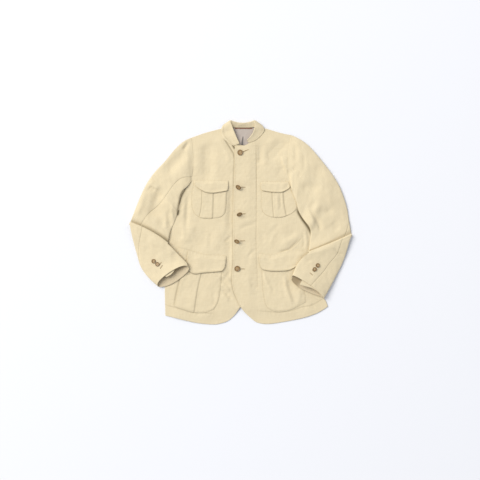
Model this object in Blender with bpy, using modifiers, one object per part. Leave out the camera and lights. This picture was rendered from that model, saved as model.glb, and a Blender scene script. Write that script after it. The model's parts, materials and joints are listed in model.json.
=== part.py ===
# Linen field jacket lying flat on a table, front up, both elbows bent.
# Tables are in millimetres, meshes in metres. +X is the wearer's left,
# +Y runs towards the collar and +Z is up from the table.
import math

import bmesh
import bpy
import numpy as np
from mathutils import Vector
from mathutils.bvhtree import BVHTree

MM = 0.001

# Cloth walls and the clear gaps between pieces
CLOTH = 1.5
POCKET_CLOTH = 1.2
FLAP_CLOTH = 1.3
LINING_CLOTH = 1.0
COLLAR_CLOTH = 2.0
TAPE_CLOTH = 1.0
GAP = 0.4
SLEEVE_SEAM_GAP = 0.6
LAY_GAP = 0.6

# How high the fronts lie over the back
FRONT_REST = 2.0
FRONT_FULL = 2.6
SIDE_RUN = 60.0
SHOULDER_RUN = 40.0
BODY_RIGHT_X = -262.0
BODY_LEFT_X = 285.0
HEM_ON_TABLE = 0.5
HEM_DROP_START = 6.0
HEM_DROP_RUN = 45.0
STAND_RAISE = 2.4
STAND_SEAM_X = 62.0
STAND_STEP = 12.0

# Elbow tuck: depth of the hidden fold at the inner edge and its turn
TUCK_DEPTH = 14.0
TUCK_DEPTH_OUTER = 3.0
TUCK_TURN = 2.8
TUCK_SLACK = 7.0

# Buttons
FRONT_BUTTON_RADIUS = 9.8
CUFF_BUTTON_RADIUS = 7.4
BUTTON_THICK = 3.0
BUTTON_SIDES = 16
# Half section of a button as shares of its radius and thickness
BUTTON_PROFILE = [(0.0, 0.0), (0.72, 0.0), (1.0, 0.45), (0.93, 1.0), (0.7, 0.73), (0.0, 0.73)]

# Outline of the body, hem to shoulder and right to left
RIGHT_SIDE = [(-263, -325), (-265, -220), (-262, -110), (-258, 0), (-254, 94)]
RIGHT_UNDERARM = [(-254, 94), (-222, 101), (-192, 118), (-171, 147)]
RIGHT_ARMHOLE = [(-171, 147), (-166, 184), (-167, 222), (-169, 262), (-173, 296)]
RIGHT_SHOULDER = [(-173, 296), (-124, 313), (-72, 327), (-50, 332)]
RIGHT_NECK = [(-50, 332), (-46, 314), (-36, 294), (-16, 276), (22, 266)]
RIGHT_FRONT_EDGE = [(-16, -316), (-2, -295), (8, -274), (16, -246), (22, -190), (22, 0), (22, 266)]
RIGHT_HEM = [(-263, -325), (-225, -334), (-180, -345), (-144, -352), (-96, -356), (-68, -352),
             (-46, -344), (-29, -331), (-16, -316)]
LEFT_SIDE = [(304, -293), (298, -276), (290, -262), (282, -215), (272, -150), (264, -50), (262, 95)]
LEFT_UNDERARM = [(262, 95), (230, 102), (200, 112), (178, 126)]
LEFT_ARMHOLE = [(178, 126), (169, 165), (166, 214), (169, 262), (177, 305)]
LEFT_NECK = [(-20, 266), (8, 267), (28, 276), (42, 290), (54, 310), (62, 331)]
LEFT_SHOULDER = [(62, 331), (87, 328), (118, 319), (146, 311), (177, 305)]
LEFT_FRONT_EDGE = [(16, -316), (-1, -294), (-17, -260), (-27, -231), (-31, -192), (-26, -131),
                   (-27, -60), (-26, 60), (-22, 170), (-20, 266)]
LEFT_HEM = [(16, -316), (36, -334), (59, -350), (97, -354), (156, -346), (214, -334), (258, -320),
            (287, -305), (304, -293)]
BACK_NECK = [(-50, 332), (4, 335), (62, 331)]
BACK_HEM = [(-263, -325), (-150, -314), (0, -284), (150, -292), (304, -293)]

# Largest folds of the fronts: a soft ridge or trough along a line
FOLD_COLUMNS = ("x0", "y0", "x1", "y1", "width", "height")
FOLD_FADE = 0.15
FRONT_FOLDS = [
    (-205, 5, -198, -80, 12, 3.0),
    (-178, 0, -182, -76, 11, 2.4),
    (-118, 280, -108, 170, 26, -1.6),
    (142, 228, 164, 160, 13, 3.4),
    (146, 290, 120, 220, 24, -1.6),
    (138, -80, 212, -38, 14, 3.6),
    (36, -2, 56, -16, 9, 1.6),
    (96, -10, 170, -30, 18, 2.0),
]

# Sleeve sections from the armhole to the elbow and from the elbow to the
# cuff. The lifts are the heights of the lower cloth at either edge, half is
# half the height of the tube and seam is how far in from the outer edge the
# seam of the upper cloth lies. Bows push the section along the sleeve.
SLEEVE_COLUMNS = ("outer_x", "outer_y", "inner_x", "inner_y", "outer_lift", "inner_lift",
                  "half", "bow_top", "bow_low", "seam")
RIGHT_UPPER_ARM = [
    (-175, 296, -175, 145, -0.6, 4.0, 4.0, -6.0, -6.0, 0.91),
    (-203, 281, -188, 131, -0.6, 6.5, 5.5, -4.0, -4.0, 0.79),
    (-234, 251, -203, 111, -0.6, 7.5, 6.5, -2.0, -2.0, 0.71),
    (-264, 214, -212, 88, -0.6, 7.5, 7.0, 0.0, 0.0, 0.64),
    (-298, 178, -218, 56, -0.6, 7.5, 7.0, 0.0, 0.0, 0.59),
    (-323, 144, -224, 22, -0.6, 7.5, 7.0, 0.0, 0.0, 0.53),
    (-344, 105, -235, -6, -0.6, 7.5, 6.5, -3.0, -3.0, 0.46),
    (-366, 53, -246, -35, -0.6, 7.5, 4.5, -6.0, -6.0, 0.36),
    (-386, 2, -253, -71, 0.4, 7.5, 2.2, -8.0, -8.0, 0.31),
]
RIGHT_FOREARM = [
    (-386, 1, -253, -71, 11.6, 18.7, 2.2, -8.0, -8.0, 0.31),
    (-381, -36, -240, -86, 9.5, 19.5, 3.0, -6.0, -6.0, 0.23),
    (-372, -76, -226, -101, 3.0, 16.5, 4.5, -3.0, -3.0, 0.12),
    (-361, -116, -211, -117, 0.2, 13.5, 5.5, 0.0, 0.0, 0.06),
    (-348, -156, -197, -131, -0.4, 12.5, 6.5, -3.0, 2.0, 0.05),
    (-322, -192, -187, -141, -0.2, 12.5, 8.5, -11.0, 9.0, 0.05),
    (-287, -224, -182, -155, 1.2, 12.5, 11.0, -21.0, 18.0, 0.05),
]
LEFT_UPPER_ARM = [
    (179, 305, 179.5, 124, -0.6, 8.0, 4.0, -11.5, -11.5, 0.05),
    (205, 292, 187, 100, -0.6, 10.0, 5.5, -7.0, -7.0, 0.05),
    (234, 271, 194, 70, -0.6, 10.5, 6.5, -3.0, -3.0, 0.05),
    (262, 241, 203, 38, -0.6, 10.5, 7.0, 0.0, 0.0, 0.05),
    (293, 203, 220, 10, -0.6, 10.0, 7.0, 0.0, 0.0, 0.05),
    (325, 160, 240, -18, -0.6, 9.5, 7.0, 0.0, 0.0, 0.05),
    (350, 114, 244, -40, -0.6, 9.5, 6.5, 0.0, 0.0, 0.05),
    (370, 55, 241, -65, -0.6, 9.5, 5.5, 2.0, 2.0, 0.05),
    (379, 5, 238, -88, -0.6, 9.5, 3.5, 4.0, 4.0, 0.07),
    (386, -36, 236, -104, 0.4, 9.5, 2.2, 5.0, 5.0, 0.18),
]
LEFT_FOREARM = [
    (386, -36, 236, -104, 11.6, 20.7, 2.2, 5.0, 5.0, 0.29),
    (379, -64, 226, -112, 10.0, 21.5, 3.0, 3.0, 3.0, 0.28),
    (368, -105, 217, -120, 4.0, 18.0, 4.5, 0.0, 0.0, 0.27),
    (353, -146, 206, -132, 1.0, 14.5, 5.5, 0.0, 1.0, 0.29),
    (334, -184, 196, -146, 1.0, 13.5, 6.5, -2.0, 6.0, 0.33),
    (312, -225, 187, -163, 3.0, 13.5, 8.0, -5.0, 12.0, 0.40),
    (290, -263, 179, -184, 6.0, 13.5, 10.0, -9.0, 20.0, 0.47),
]
LOW_SEAM = 0.55
LIFT_POWER = 0.8
TUBE_POWER = 2.8
FACING_DEPTH = 0.2
FACING_START = 4.15
FACING_END = 5.3

# Collar sections from the right end, round the back neck, to the left end:
# neck seam, fold and outer edge
COLLAR_COLUMNS = ("seam_x", "seam_y", "seam_z", "fold_x", "fold_y", "fold_z",
                  "edge_x", "edge_y", "edge_z")
COLLAR = [
    (-14, 273, 8.6, -6, 275, 13, -25, 269, 7.6),
    (-26, 285, 7.8, -13, 290, 15, -44, 280, 7.4),
    (-38, 303, 7.2, -23, 312, 16, -62, 297, 7.4),
    (-46, 321, 7.0, -31, 334, 16.5, -68, 321, 7.2),
    (-40, 336, 5.5, -36, 353, 15, -56, 343, 5.0),
    (-20, 336, 4.2, -20, 351.5, 11, -22, 346, 3.4),
    (4, 336, 4.2, 4, 348.5, 10.5, 4, 344, 3.0),
    (28, 336, 4.2, 31, 351.5, 11, 33, 346, 3.4),
    (52, 336, 5.5, 49, 353, 15, 71, 342, 5.0),
    (60, 322, 7.8, 50, 331, 16.5, 84, 321, 7.2),
    (54, 306, 9.4, 42, 309, 16.5, 68, 298, 8.0),
    (43, 293, 10.2, 32, 296, 16, 50, 285, 9.2),
    (32, 284, 10.6, 22, 286, 14, 30, 278, 9.6),
]

# Pockets and flaps on the fronts: right edge, left edge, lower and upper edge
CHEST_POCKET_RIGHT = {
    "edge_a": [(-150, 21), (-165, 36), (-172, 62), (-172, 100), (-165, 135)],
    "edge_b": [(-66, 21), (-55, 34), (-51, 55), (-49, 90), (-46, 135)],
    "low": [(-150, 21), (-136, 16), (-110, 14), (-82, 16), (-66, 21)],
    "top": [(-165, 135), (-46, 135)],
}
CHEST_FLAP_RIGHT = {
    "edge_a": [(-150, 121), (-160, 131), (-164, 147)],
    "edge_b": [(-52, 110), (-45, 117), (-44, 147)],
    "low": [(-150, 121), (-138, 113), (-121, 105), (-94, 103), (-52, 110)],
    "top": [(-164, 147), (-44, 147)],
}
CHEST_POCKET_LEFT = {
    "edge_a": [(92, 24), (78, 36), (71, 55), (71, 95), (73, 133)],
    "edge_b": [(178, 32), (194, 46), (198, 64), (189, 95), (165, 133)],
    "low": [(92, 24), (112, 18), (140, 18), (162, 24), (178, 32)],
    "top": [(73, 133), (165, 133)],
}
CHEST_FLAP_LEFT = {
    "edge_a": [(76, 111), (71, 117), (71, 143)],
    "edge_b": [(167, 118.5), (171, 126), (167, 143)],
    "low": [(76, 111), (109, 106), (138, 105), (154, 110.5), (167, 118.5)],
    "top": [(71, 143), (167, 143)],
}
HIP_POCKET_RIGHT = {
    "edge_a": [(-232, -293), (-224, -250), (-212, -200), (-197, -152), (-184, -122)],
    "edge_b": [(-94, -303), (-80, -278), (-73, -248), (-68, -200), (-64, -140)],
    "low": [(-232, -293), (-208, -302), (-166, -314), (-124, -315), (-94, -303)],
    "top": [(-184, -122), (-121, -136), (-64, -140)],
}
HIP_FLAP_RIGHT = {
    "edge_a": [(-186, -160), (-187, -140), (-184, -96)],
    "edge_b": [(-64, -167), (-55, -153), (-51, -116)],
    "low": [(-186, -160), (-178, -173), (-160, -180), (-131, -176), (-74, -171), (-64, -167)],
    "top": [(-184, -96), (-160, -103), (-121, -112), (-51, -116)],
}
HIP_POCKET_LEFT = {
    "edge_a": [(94, -300), (84, -280), (77, -240), (73, -180), (72, -132)],
    "edge_b": [(228, -278), (224, -248), (217, -215), (208, -180), (198, -122)],
    "low": [(94, -300), (112, -309), (138, -313), (172, -306), (198, -294), (228, -278)],
    "top": [(72, -132), (130, -132), (198, -122)],
}
HIP_FLAP_LEFT = {
    "edge_a": [(70, -158), (66, -148), (65, -108)],
    "edge_b": [(192, -153), (212, -138), (225, -92)],
    "low": [(70, -158), (82, -166), (120, -170), (165, -167), (192, -153)],
    "top": [(65, -108), (110, -113), (140, -104), (170, -96), (225, -92)],
}
FLAP_RAMP = 0.25
PLEAT_RAISE = 1.2
# Where each pleat starts and ends, as shares of its pocket's width
CHEST_PLEAT_RIGHT = (0.28, 0.58)
CHEST_PLEAT_LEFT = (0.31, 0.66)
HIP_PLEAT_RIGHT = (0.0, 0.44)
NO_PLEAT = (2.0, 3.0)
PLEAT_STEP = 0.04
POCKET_FOLDS = [
    (72, -180, 110, -236, 9, 2.6),
    (150, -180, 180, -286, 9, 3.2),
    (206, -236, 200, -290, 9, 2.0),
]

# Lining patch that shows in the neck, its centre pleat and the neck tape
LINING = {
    "edge_a": [(-40, 240), (-50, 290), (-41, 331)],
    "edge_b": [(50, 240), (66, 290), (53, 331)],
    "low": [(-40, 240), (50, 240)],
    "top": [(-41, 331), (53, 331)],
}
LINING_PLEAT_X = 7.0
LINING_PLEAT_WIDTH = 3.0
LINING_PLEAT_RAISE = 0.5
TAPE = {
    "edge_a": [(-20, 327), (-20, 331.5)],
    "edge_b": [(40, 327), (40, 331.5)],
    "low": [(-20, 327), (40, 327)],
    "top": [(-20, 331.5), (40, 331.5)],
}

# Front buttons as (x, y, lean from flat, heading leant towards) in degrees,
# cuff buttons as (x, y)
FRONT_BUTTONS = [
    (-2, 244, 4, 200),
    (-8, 123, 48, 233),
    (-5, 29, 52, 292),
    (-13, -65, 50, 246),
    (-12, -161, 4, 180),
]
RIGHT_CUFF_BUTTONS = [(-301, -134), (-288.5, -144)]
LEFT_CUFF_BUTTONS = [(268, -150), (256.5, -162)]

# Looks: linear colour, roughness and metallic of each material
LOOKS = {
    "linen": ((0.80, 0.69, 0.47), 0.85, 0.0),
    "lining_cloth": ((0.59, 0.51, 0.43), 0.6, 0.0),
    "brown_tape": ((0.16, 0.08, 0.05), 0.8, 0.0),
    "horn_button": ((0.36, 0.24, 0.11), 0.35, 0.0),
}

# How many facets each kind of piece has along its two directions
FRONT_FACETS = (12, 20)
BACK_FACETS = (10, 10)
POCKET_FACETS = (12, 6)
FLAP_FACETS = (8, 4)
COLLAR_FACETS = (26, 7)
LINING_FACETS = (16, 6)
TAPE_FACETS = (6, 1)
FACING_FACETS = (8, 3)
SLEEVE_ACROSS = 9
UPPER_RINGS = 11
TURN_RINGS = 4
FOREARM_RINGS = 10


def step(t):
    t = np.clip(t, 0.0, 1.0)
    return t * t * (3.0 - 2.0 * t)


def smooth_line(points, parts=10):
    # Catmull-Rom curve through the points of one run
    p = np.array(points, float)
    ends = np.vstack([2 * p[0] - p[1], p, 2 * p[-1] - p[-2]])
    t = np.linspace(0.0, 1.0, parts, endpoint=False)[:, None]
    pieces = []
    for i in range(len(p) - 1):
        a, b, c, d = ends[i:i + 4]
        bend = (2 * a - 5 * b + 4 * c - d) * t ** 2 + (3 * b - a - 3 * c + d) * t ** 3
        pieces.append(0.5 * (2 * b + (c - a) * t + bend))
    return np.vstack(pieces + [p[-1:]])


def edge(*runs):
    # A boundary made of smooth runs that meet at corners, read by its length
    line = np.vstack([smooth_line(run) for run in runs])
    gone = np.concatenate([[0.0], np.cumsum(np.linalg.norm(np.diff(line, axis=0), axis=1))])
    share = gone / gone[-1]
    return lambda t: np.stack([np.interp(t, share, line[:, k]) for k in (0, 1)], -1)


def patch(edge_a, edge_b, low, top):
    # A four-sided cloth outline filled across from its boundary curves
    corners = [low(0.0), low(1.0), top(0.0), top(1.0)]

    def place(u, v):
        a, b = u[:, None], v[:, None]
        sides = (1 - a) * edge_a(v) + a * edge_b(v) + (1 - b) * low(u) + b * top(u)
        twist = (1 - b) * ((1 - a) * corners[0] + a * corners[1])
        return sides - twist - b * ((1 - a) * corners[2] + a * corners[3])

    return place


def outline(piece):
    return patch(edge(piece["edge_a"]), edge(piece["edge_b"]), edge(piece["low"]), edge(piece["top"]))


def relief(x, y, folds):
    # Soft ridges and troughs along the folds' lines, fading at their ends
    total = np.zeros_like(x)
    for row in folds:
        fold = dict(zip(FOLD_COLUMNS, row))
        dx, dy = fold["x1"] - fold["x0"], fold["y1"] - fold["y0"]
        length = math.hypot(dx, dy)
        t = ((x - fold["x0"]) * dx + (y - fold["y0"]) * dy) / length ** 2
        off = ((x - fold["x0"]) * dy - (y - fold["y0"]) * dx) / length
        fade = step((t + FOLD_FADE) / (2 * FOLD_FADE)) * step((1 + FOLD_FADE - t) / (2 * FOLD_FADE))
        total += fold["height"] * np.exp(-(off / fold["width"]) ** 2) * fade
    return total


def front_under(x, y):
    # Height of the underside of either front over the table
    sides = step((x - BODY_RIGHT_X) / SIDE_RUN) * step((BODY_LEFT_X - x) / SIDE_RUN)
    line = np.array([RIGHT_SHOULDER[0], RIGHT_SHOULDER[-1], LEFT_SHOULDER[0], LEFT_SHOULDER[-1]])
    shoulder_y = np.interp(x, line[:, 0], line[:, 1])
    full = sides * step((shoulder_y - y) / SHOULDER_RUN)
    height = FRONT_REST + FRONT_FULL * full + relief(x, y, FRONT_FOLDS) * full
    hem = smooth_line(BACK_HEM)
    drop = step((np.interp(x, hem[:, 0], hem[:, 1]) - HEM_DROP_START - y) / HEM_DROP_RUN)
    return height + (HEM_ON_TABLE - height) * drop


def left_front_under(x, y):
    # The left front lies over the right one along its button stand
    return front_under(x, y) + STAND_RAISE * step((STAND_SEAM_X - x) / STAND_STEP)


def lining_under(x, y):
    # The lining lies on the back, with a narrow pleat down its middle
    pleat = np.exp(-((x - LINING_PLEAT_X) / LINING_PLEAT_WIDTH) ** 2)
    return CLOTH + GAP + LINING_PLEAT_RAISE * pleat


def tape_under(x, y):
    return np.full_like(x, CLOTH + LINING_CLOTH + LINING_PLEAT_RAISE + 2 * GAP)


def material(name):
    found = bpy.data.materials.get(name)
    if found:
        return found
    colour, roughness, metallic = LOOKS[name]
    made = bpy.data.materials.new(name)
    made.use_nodes = True
    shader = made.node_tree.nodes["Principled BSDF"]
    shader.inputs["Base Color"].default_value = (*colour, 1.0)
    shader.inputs["Roughness"].default_value = roughness
    shader.inputs["Metallic"].default_value = metallic
    return made


def finish(name, bm, look):
    mesh = bpy.data.meshes.new(name)
    bm.to_mesh(mesh)
    bm.free()
    mesh.materials.append(material(look))
    made = bpy.data.objects.new(name, mesh)
    jacket.objects.link(made)
    return made


def sheet(name, facets, place, wall, look, outside=1, flip=False):
    # A grid laid out by place(u, v) in millimetres and thickened to a wall
    bm = bmesh.new()
    bmesh.ops.create_grid(bm, x_segments=facets[0], y_segments=facets[1], size=0.5)
    flat = np.array([vert.co[:] for vert in bm.verts])
    spots = place(flat[:, 0] + 0.5, flat[:, 1] + 0.5) * MM
    for vert, spot in zip(bm.verts, spots):
        vert.co = spot
    if flip:
        bmesh.ops.reverse_faces(bm, faces=bm.faces[:])
    bm.normal_update()
    tree = BVHTree.FromBMesh(bm)
    made = finish(name, bm, look)
    solid = made.modifiers.new("wall", "SOLIDIFY")
    solid.thickness = wall * MM
    solid.offset = outside
    solid.use_even_offset = True
    solid.use_quality_normals = True
    return tree


def flat_piece(name, facets, spread, height, wall, look):
    def place(u, v):
        xy = spread(u, v)
        return np.column_stack([xy, height(xy[:, 0], xy[:, 1])])

    return sheet(name, facets, place, wall, look)


def on_panel(tree, x, y):
    # Height of a panel's own facets under each point
    heights = np.empty(len(x))
    for i, (px, py) in enumerate(zip(x, y)):
        hit = tree.ray_cast(Vector((px * MM, py * MM, 1.0)), Vector((0.0, 0.0, -1.0)))
        heights[i] = hit[0].z / MM
    return heights


def pocket(name, piece, tree, pleat, folds=()):
    # A patch pocket made from its panel's points, with a raised pleat
    spread = outline(piece)

    def place(u, v):
        xy = spread(u, v)
        x, y = xy[:, 0], xy[:, 1]
        raised = step((u - pleat[0]) / PLEAT_STEP) * step((pleat[1] - u) / PLEAT_STEP)
        height = on_panel(tree, x, y) + CLOTH + LAY_GAP + PLEAT_RAISE * raised
        return np.column_stack([xy, height + relief(x, y, folds)])

    sheet(name, POCKET_FACETS, place, POCKET_CLOTH, "linen")


def flap(name, piece, tree, over):
    # A flap sewn at its top edge that climbs over the pocket
    spread = outline(piece)

    def place(u, v):
        xy = spread(u, v)
        height = on_panel(tree, xy[:, 0], xy[:, 1]) + CLOTH + LAY_GAP
        return np.column_stack([xy, height + over * step((1 - v) / FLAP_RAMP)])

    sheet(name, FLAP_FACETS, place, FLAP_CLOTH, "linen")


def spaced(rows, count):
    # The table's rows as a smooth run of count + 1 sections
    line = smooth_line(rows, 8)
    return np.stack([np.interp(np.linspace(0, 1, count + 1), np.linspace(0, 1, len(line)), column)
                     for column in line.T], -1)


def sections(rows):
    # Columns, outer ends, inner ends and up directions of flat-lying sections
    c = dict(zip(SLEEVE_COLUMNS, rows.T))
    outer = np.column_stack([c["outer_x"], c["outer_y"], c["outer_lift"] + c["half"]])
    inner = np.column_stack([c["inner_x"], c["inner_y"], c["inner_lift"] + c["half"]])
    return c, outer, inner, np.tile([0.0, 0.0, 1.0], (len(outer), 1))


def ahead(outer, inner):
    # Level direction square to the line from outer to inner
    square = np.cross(inner - outer, [0.0, 0.0, 1.0])
    return square / np.linalg.norm(square, axis=-1, keepdims=True)


def sleeve(upper, forearm):
    # Every section of a sleeve, through the tuck at its elbow, where the cloth
    # turns back under the forearm and then forward again on top
    c, outer, inner, up = sections(spaced(upper, UPPER_RINGS))
    low, low_outer, low_inner, low_up = sections(spaced(forearm, FOREARM_RINGS))
    forward = ahead(outer[-1], inner[-1])
    forward *= np.sign(forward @ (low_outer[-1] - outer[-1]))
    rise = up[-1]
    turn = np.linspace(0.0, math.pi, TURN_RINGS + 1)[:, None]
    first = TUCK_TURN * (np.sin(turn) * forward + (1 - np.cos(turn)) * rise)
    second = TUCK_TURN * ((3 - np.cos(turn)) * rise - np.sin(turn) * forward)
    first_up = np.cos(turn) * rise - np.sin(turn) * forward
    second_up = -np.cos(turn) * rise - np.sin(turn) * forward
    far_outer = outer[-1] + TUCK_DEPTH_OUTER * forward
    far_inner = inner[-1] + TUCK_DEPTH * forward
    hidden = 2 * TURN_RINGS + 1
    rings = {
        "outer": np.vstack([outer, far_outer + first, outer[-1] + second[:-1], low_outer]),
        "inner": np.vstack([inner, far_inner + first, inner[-1] + second[:-1], low_inner]),
        "up": np.vstack([up, first_up, second_up[:-1], low_up]),
        "hidden": slice(len(outer), len(outer) + hidden),
        "forward": forward,
    }
    for name in ("half", "bow_top", "bow_low", "seam"):
        between = np.linspace(c[name][-1], low[name][0], hidden)
        rings[name] = np.concatenate([c[name], between, low[name]])
    return rings


def tube_points(rings, ring, theta, inset=0.0):
    # Point of a flattened tube: ring counts sections and theta goes round it,
    # 0 at the outer edge and pi at the inner edge, over the top
    index = np.arange(len(rings["half"]))

    def read(values):
        return np.stack([np.interp(ring, index, column) for column in np.atleast_2d(values.T)], -1)

    outer, inner = read(rings["outer"]), read(rings["inner"])
    up = read(rings["up"])
    up /= np.linalg.norm(up, axis=1)[:, None]
    half = read(rings["half"])[:, 0] - inset
    c = (1 - np.cos(theta)) / 2
    lift = c ** LIFT_POWER
    base = outer + (inner - outer) * c[:, None]
    base[:, 2] = outer[:, 2] + (inner[:, 2] - outer[:, 2]) * lift
    round_off = (1 - np.abs(np.cos(theta)) ** TUBE_POWER) ** (1 / TUBE_POWER)
    top = np.sin(theta) > 0
    bow = np.where(top, read(rings["bow_top"])[:, 0], read(rings["bow_low"])[:, 0])
    along = ahead(outer, inner)
    along *= np.sign(along @ rings["forward"])[:, None]
    bowed = (bow * 4 * c * (1 - c))[:, None] * along
    return base + bowed + up * (half * round_off * np.where(top, 1, -1))[:, None]


def sleeve_panels(side, rings, flip):
    count = len(rings["half"]) - 1
    index = np.arange(count + 1)
    seam = np.arccos(1 - 2 * rings["seam"])
    low_seam = np.arccos(1 - 2 * LOW_SEAM)
    width = np.linalg.norm(rings["inner"] - rings["outer"], axis=1)
    slack = 0.5 * SLEEVE_SEAM_GAP / (0.5 * width * np.sin(seam) + rings["half"] * 0.5)
    low_slack = 0.5 * SLEEVE_SEAM_GAP / (0.5 * width * math.sin(low_seam))
    slack[rings["hidden"]] *= TUCK_SLACK
    low_slack[rings["hidden"]] *= TUCK_SLACK
    spans = {
        "outer": (low_slack - low_seam, seam - slack),
        "inner": (seam + slack, 2 * math.pi - low_seam - low_slack),
    }
    for part, (start, end) in spans.items():
        def place(u, v, start=start, end=end):
            ring = v * count
            first, last = np.interp(ring, index, start), np.interp(ring, index, end)
            return tube_points(rings, ring, first + (last - first) * u)

        tree = sheet(f"sleeve_{side}_{part}", (SLEEVE_ACROSS, count), place, CLOTH, "linen", -1, flip)

    def facing(u, v):
        ring = count - FOREARM_RINGS * FACING_DEPTH * (1 - v)
        theta = FACING_START + (FACING_END - FACING_START) * u
        return tube_points(rings, ring, theta, CLOTH + GAP)

    sheet(f"cuff_facing_{side}", FACING_FACETS, facing, LINING_CLOTH, "lining_cloth", -1, flip)
    return tree


def collar():
    # Stand and fall as one curve from the neck seam over the fold to the rim
    def place(u, v):
        line = smooth_line(COLLAR)
        t = np.linspace(0.0, 1.0, len(line))
        read = {name: np.interp(u, t, column) for name, column in zip(COLLAR_COLUMNS, line.T)}
        seam, fold, rim = (np.column_stack([read[f"{part}_{axis}"] for axis in "xyz"])
                           for part in ("seam", "fold", "edge"))
        knee = fold + (2 * fold - seam - rim) / 6
        w = v[:, None]
        return (1 - w) ** 3 * seam + 3 * w * (1 - w) * knee + w ** 3 * rim

    sheet("collar", COLLAR_FACETS, place, COLLAR_CLOTH, "linen")


def button(name, radius, spot, lean, towards, on_slope=False):
    # A dished disc turned about its axis
    bm = bmesh.new()
    verts = [bm.verts.new((r * radius * MM, 0.0, z * BUTTON_THICK * MM)) for r, z in BUTTON_PROFILE]
    for a, b in zip(verts, verts[1:]):
        bm.edges.new((a, b))
    made = finish(name, bm, "horn_button")
    turned = made.modifiers.new("turn", "SCREW")
    turned.steps = turned.render_steps = BUTTON_SIDES
    turned.use_merge_vertices = True
    turned.merge_threshold = 0.00001
    turned.use_normal_calculate = True
    tilt, heading = math.radians(lean), math.radians(towards)
    made.rotation_euler = (0.0, tilt, heading)
    lift = LAY_GAP + (0.0 if on_slope else radius * math.sin(tilt))
    made.location = (spot[0] * MM, spot[1] * MM, (spot[2] + lift) * MM)


for old in list(bpy.data.objects):
    bpy.data.objects.remove(old, do_unlink=True)
jacket = bpy.data.collections.new("linen_field_jacket")
bpy.context.scene.collection.children.link(jacket)

right_outline = edge(RIGHT_SIDE, RIGHT_UNDERARM, RIGHT_ARMHOLE)
left_outline = edge(LEFT_SIDE, LEFT_UNDERARM, LEFT_ARMHOLE)
back = patch(right_outline, left_outline, edge(BACK_HEM), edge(RIGHT_SHOULDER, BACK_NECK, LEFT_SHOULDER))
front_right = patch(right_outline, edge(RIGHT_FRONT_EDGE), edge(RIGHT_HEM), edge(RIGHT_SHOULDER, RIGHT_NECK))
front_left = patch(edge(LEFT_FRONT_EDGE), left_outline, edge(LEFT_HEM), edge(LEFT_NECK, LEFT_SHOULDER))

flat_piece("back", BACK_FACETS, back, lambda x, y: np.zeros_like(x), CLOTH, "linen")
flat_piece("back_lining", LINING_FACETS, outline(LINING), lining_under, LINING_CLOTH, "lining_cloth")
flat_piece("neck_tape", TAPE_FACETS, outline(TAPE), tape_under, TAPE_CLOTH, "brown_tape")
right_tree = flat_piece("front_right", FRONT_FACETS, front_right, front_under, CLOTH, "linen")
left_tree = flat_piece("front_left", FRONT_FACETS, front_left, left_front_under, CLOTH, "linen")

pocket("chest_pocket_right", CHEST_POCKET_RIGHT, right_tree, CHEST_PLEAT_RIGHT)
pocket("chest_pocket_left", CHEST_POCKET_LEFT, left_tree, CHEST_PLEAT_LEFT)
pocket("hip_pocket_right", HIP_POCKET_RIGHT, right_tree, HIP_PLEAT_RIGHT)
pocket("hip_pocket_left", HIP_POCKET_LEFT, left_tree, NO_PLEAT, POCKET_FOLDS)
over_pocket = POCKET_CLOTH + PLEAT_RAISE + LAY_GAP
flap("chest_flap_right", CHEST_FLAP_RIGHT, right_tree, over_pocket)
flap("chest_flap_left", CHEST_FLAP_LEFT, left_tree, over_pocket)
flap("hip_flap_right", HIP_FLAP_RIGHT, right_tree, over_pocket)
flap("hip_flap_left", HIP_FLAP_LEFT, left_tree, over_pocket)

right_rings = sleeve(RIGHT_UPPER_ARM, RIGHT_FOREARM)
left_rings = sleeve(LEFT_UPPER_ARM, LEFT_FOREARM)
cuff_trees = {"right": sleeve_panels("right", right_rings, True),
              "left": sleeve_panels("left", left_rings, False)}
collar()

for number, (x, y, lean, towards) in enumerate(FRONT_BUTTONS, 1):
    ground = on_panel(left_tree, np.array([x]), np.array([y]))[0] + CLOTH
    button(f"front_button_{number}", FRONT_BUTTON_RADIUS, (x, y, ground), lean, towards)
for side, spots in (("right", RIGHT_CUFF_BUTTONS), ("left", LEFT_CUFF_BUTTONS)):
    for number, (x, y) in enumerate(spots, 1):
        hit, normal = cuff_trees[side].ray_cast(Vector((x * MM, y * MM, 1.0)), Vector((0.0, 0.0, -1.0)))[:2]
        lean = math.degrees(math.acos(normal.z))
        towards = math.degrees(math.atan2(normal.y, normal.x))
        button(f"cuff_button_{side}_{number}", CUFF_BUTTON_RADIUS, (x, y, hit.z / MM), lean, towards, True)
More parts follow.
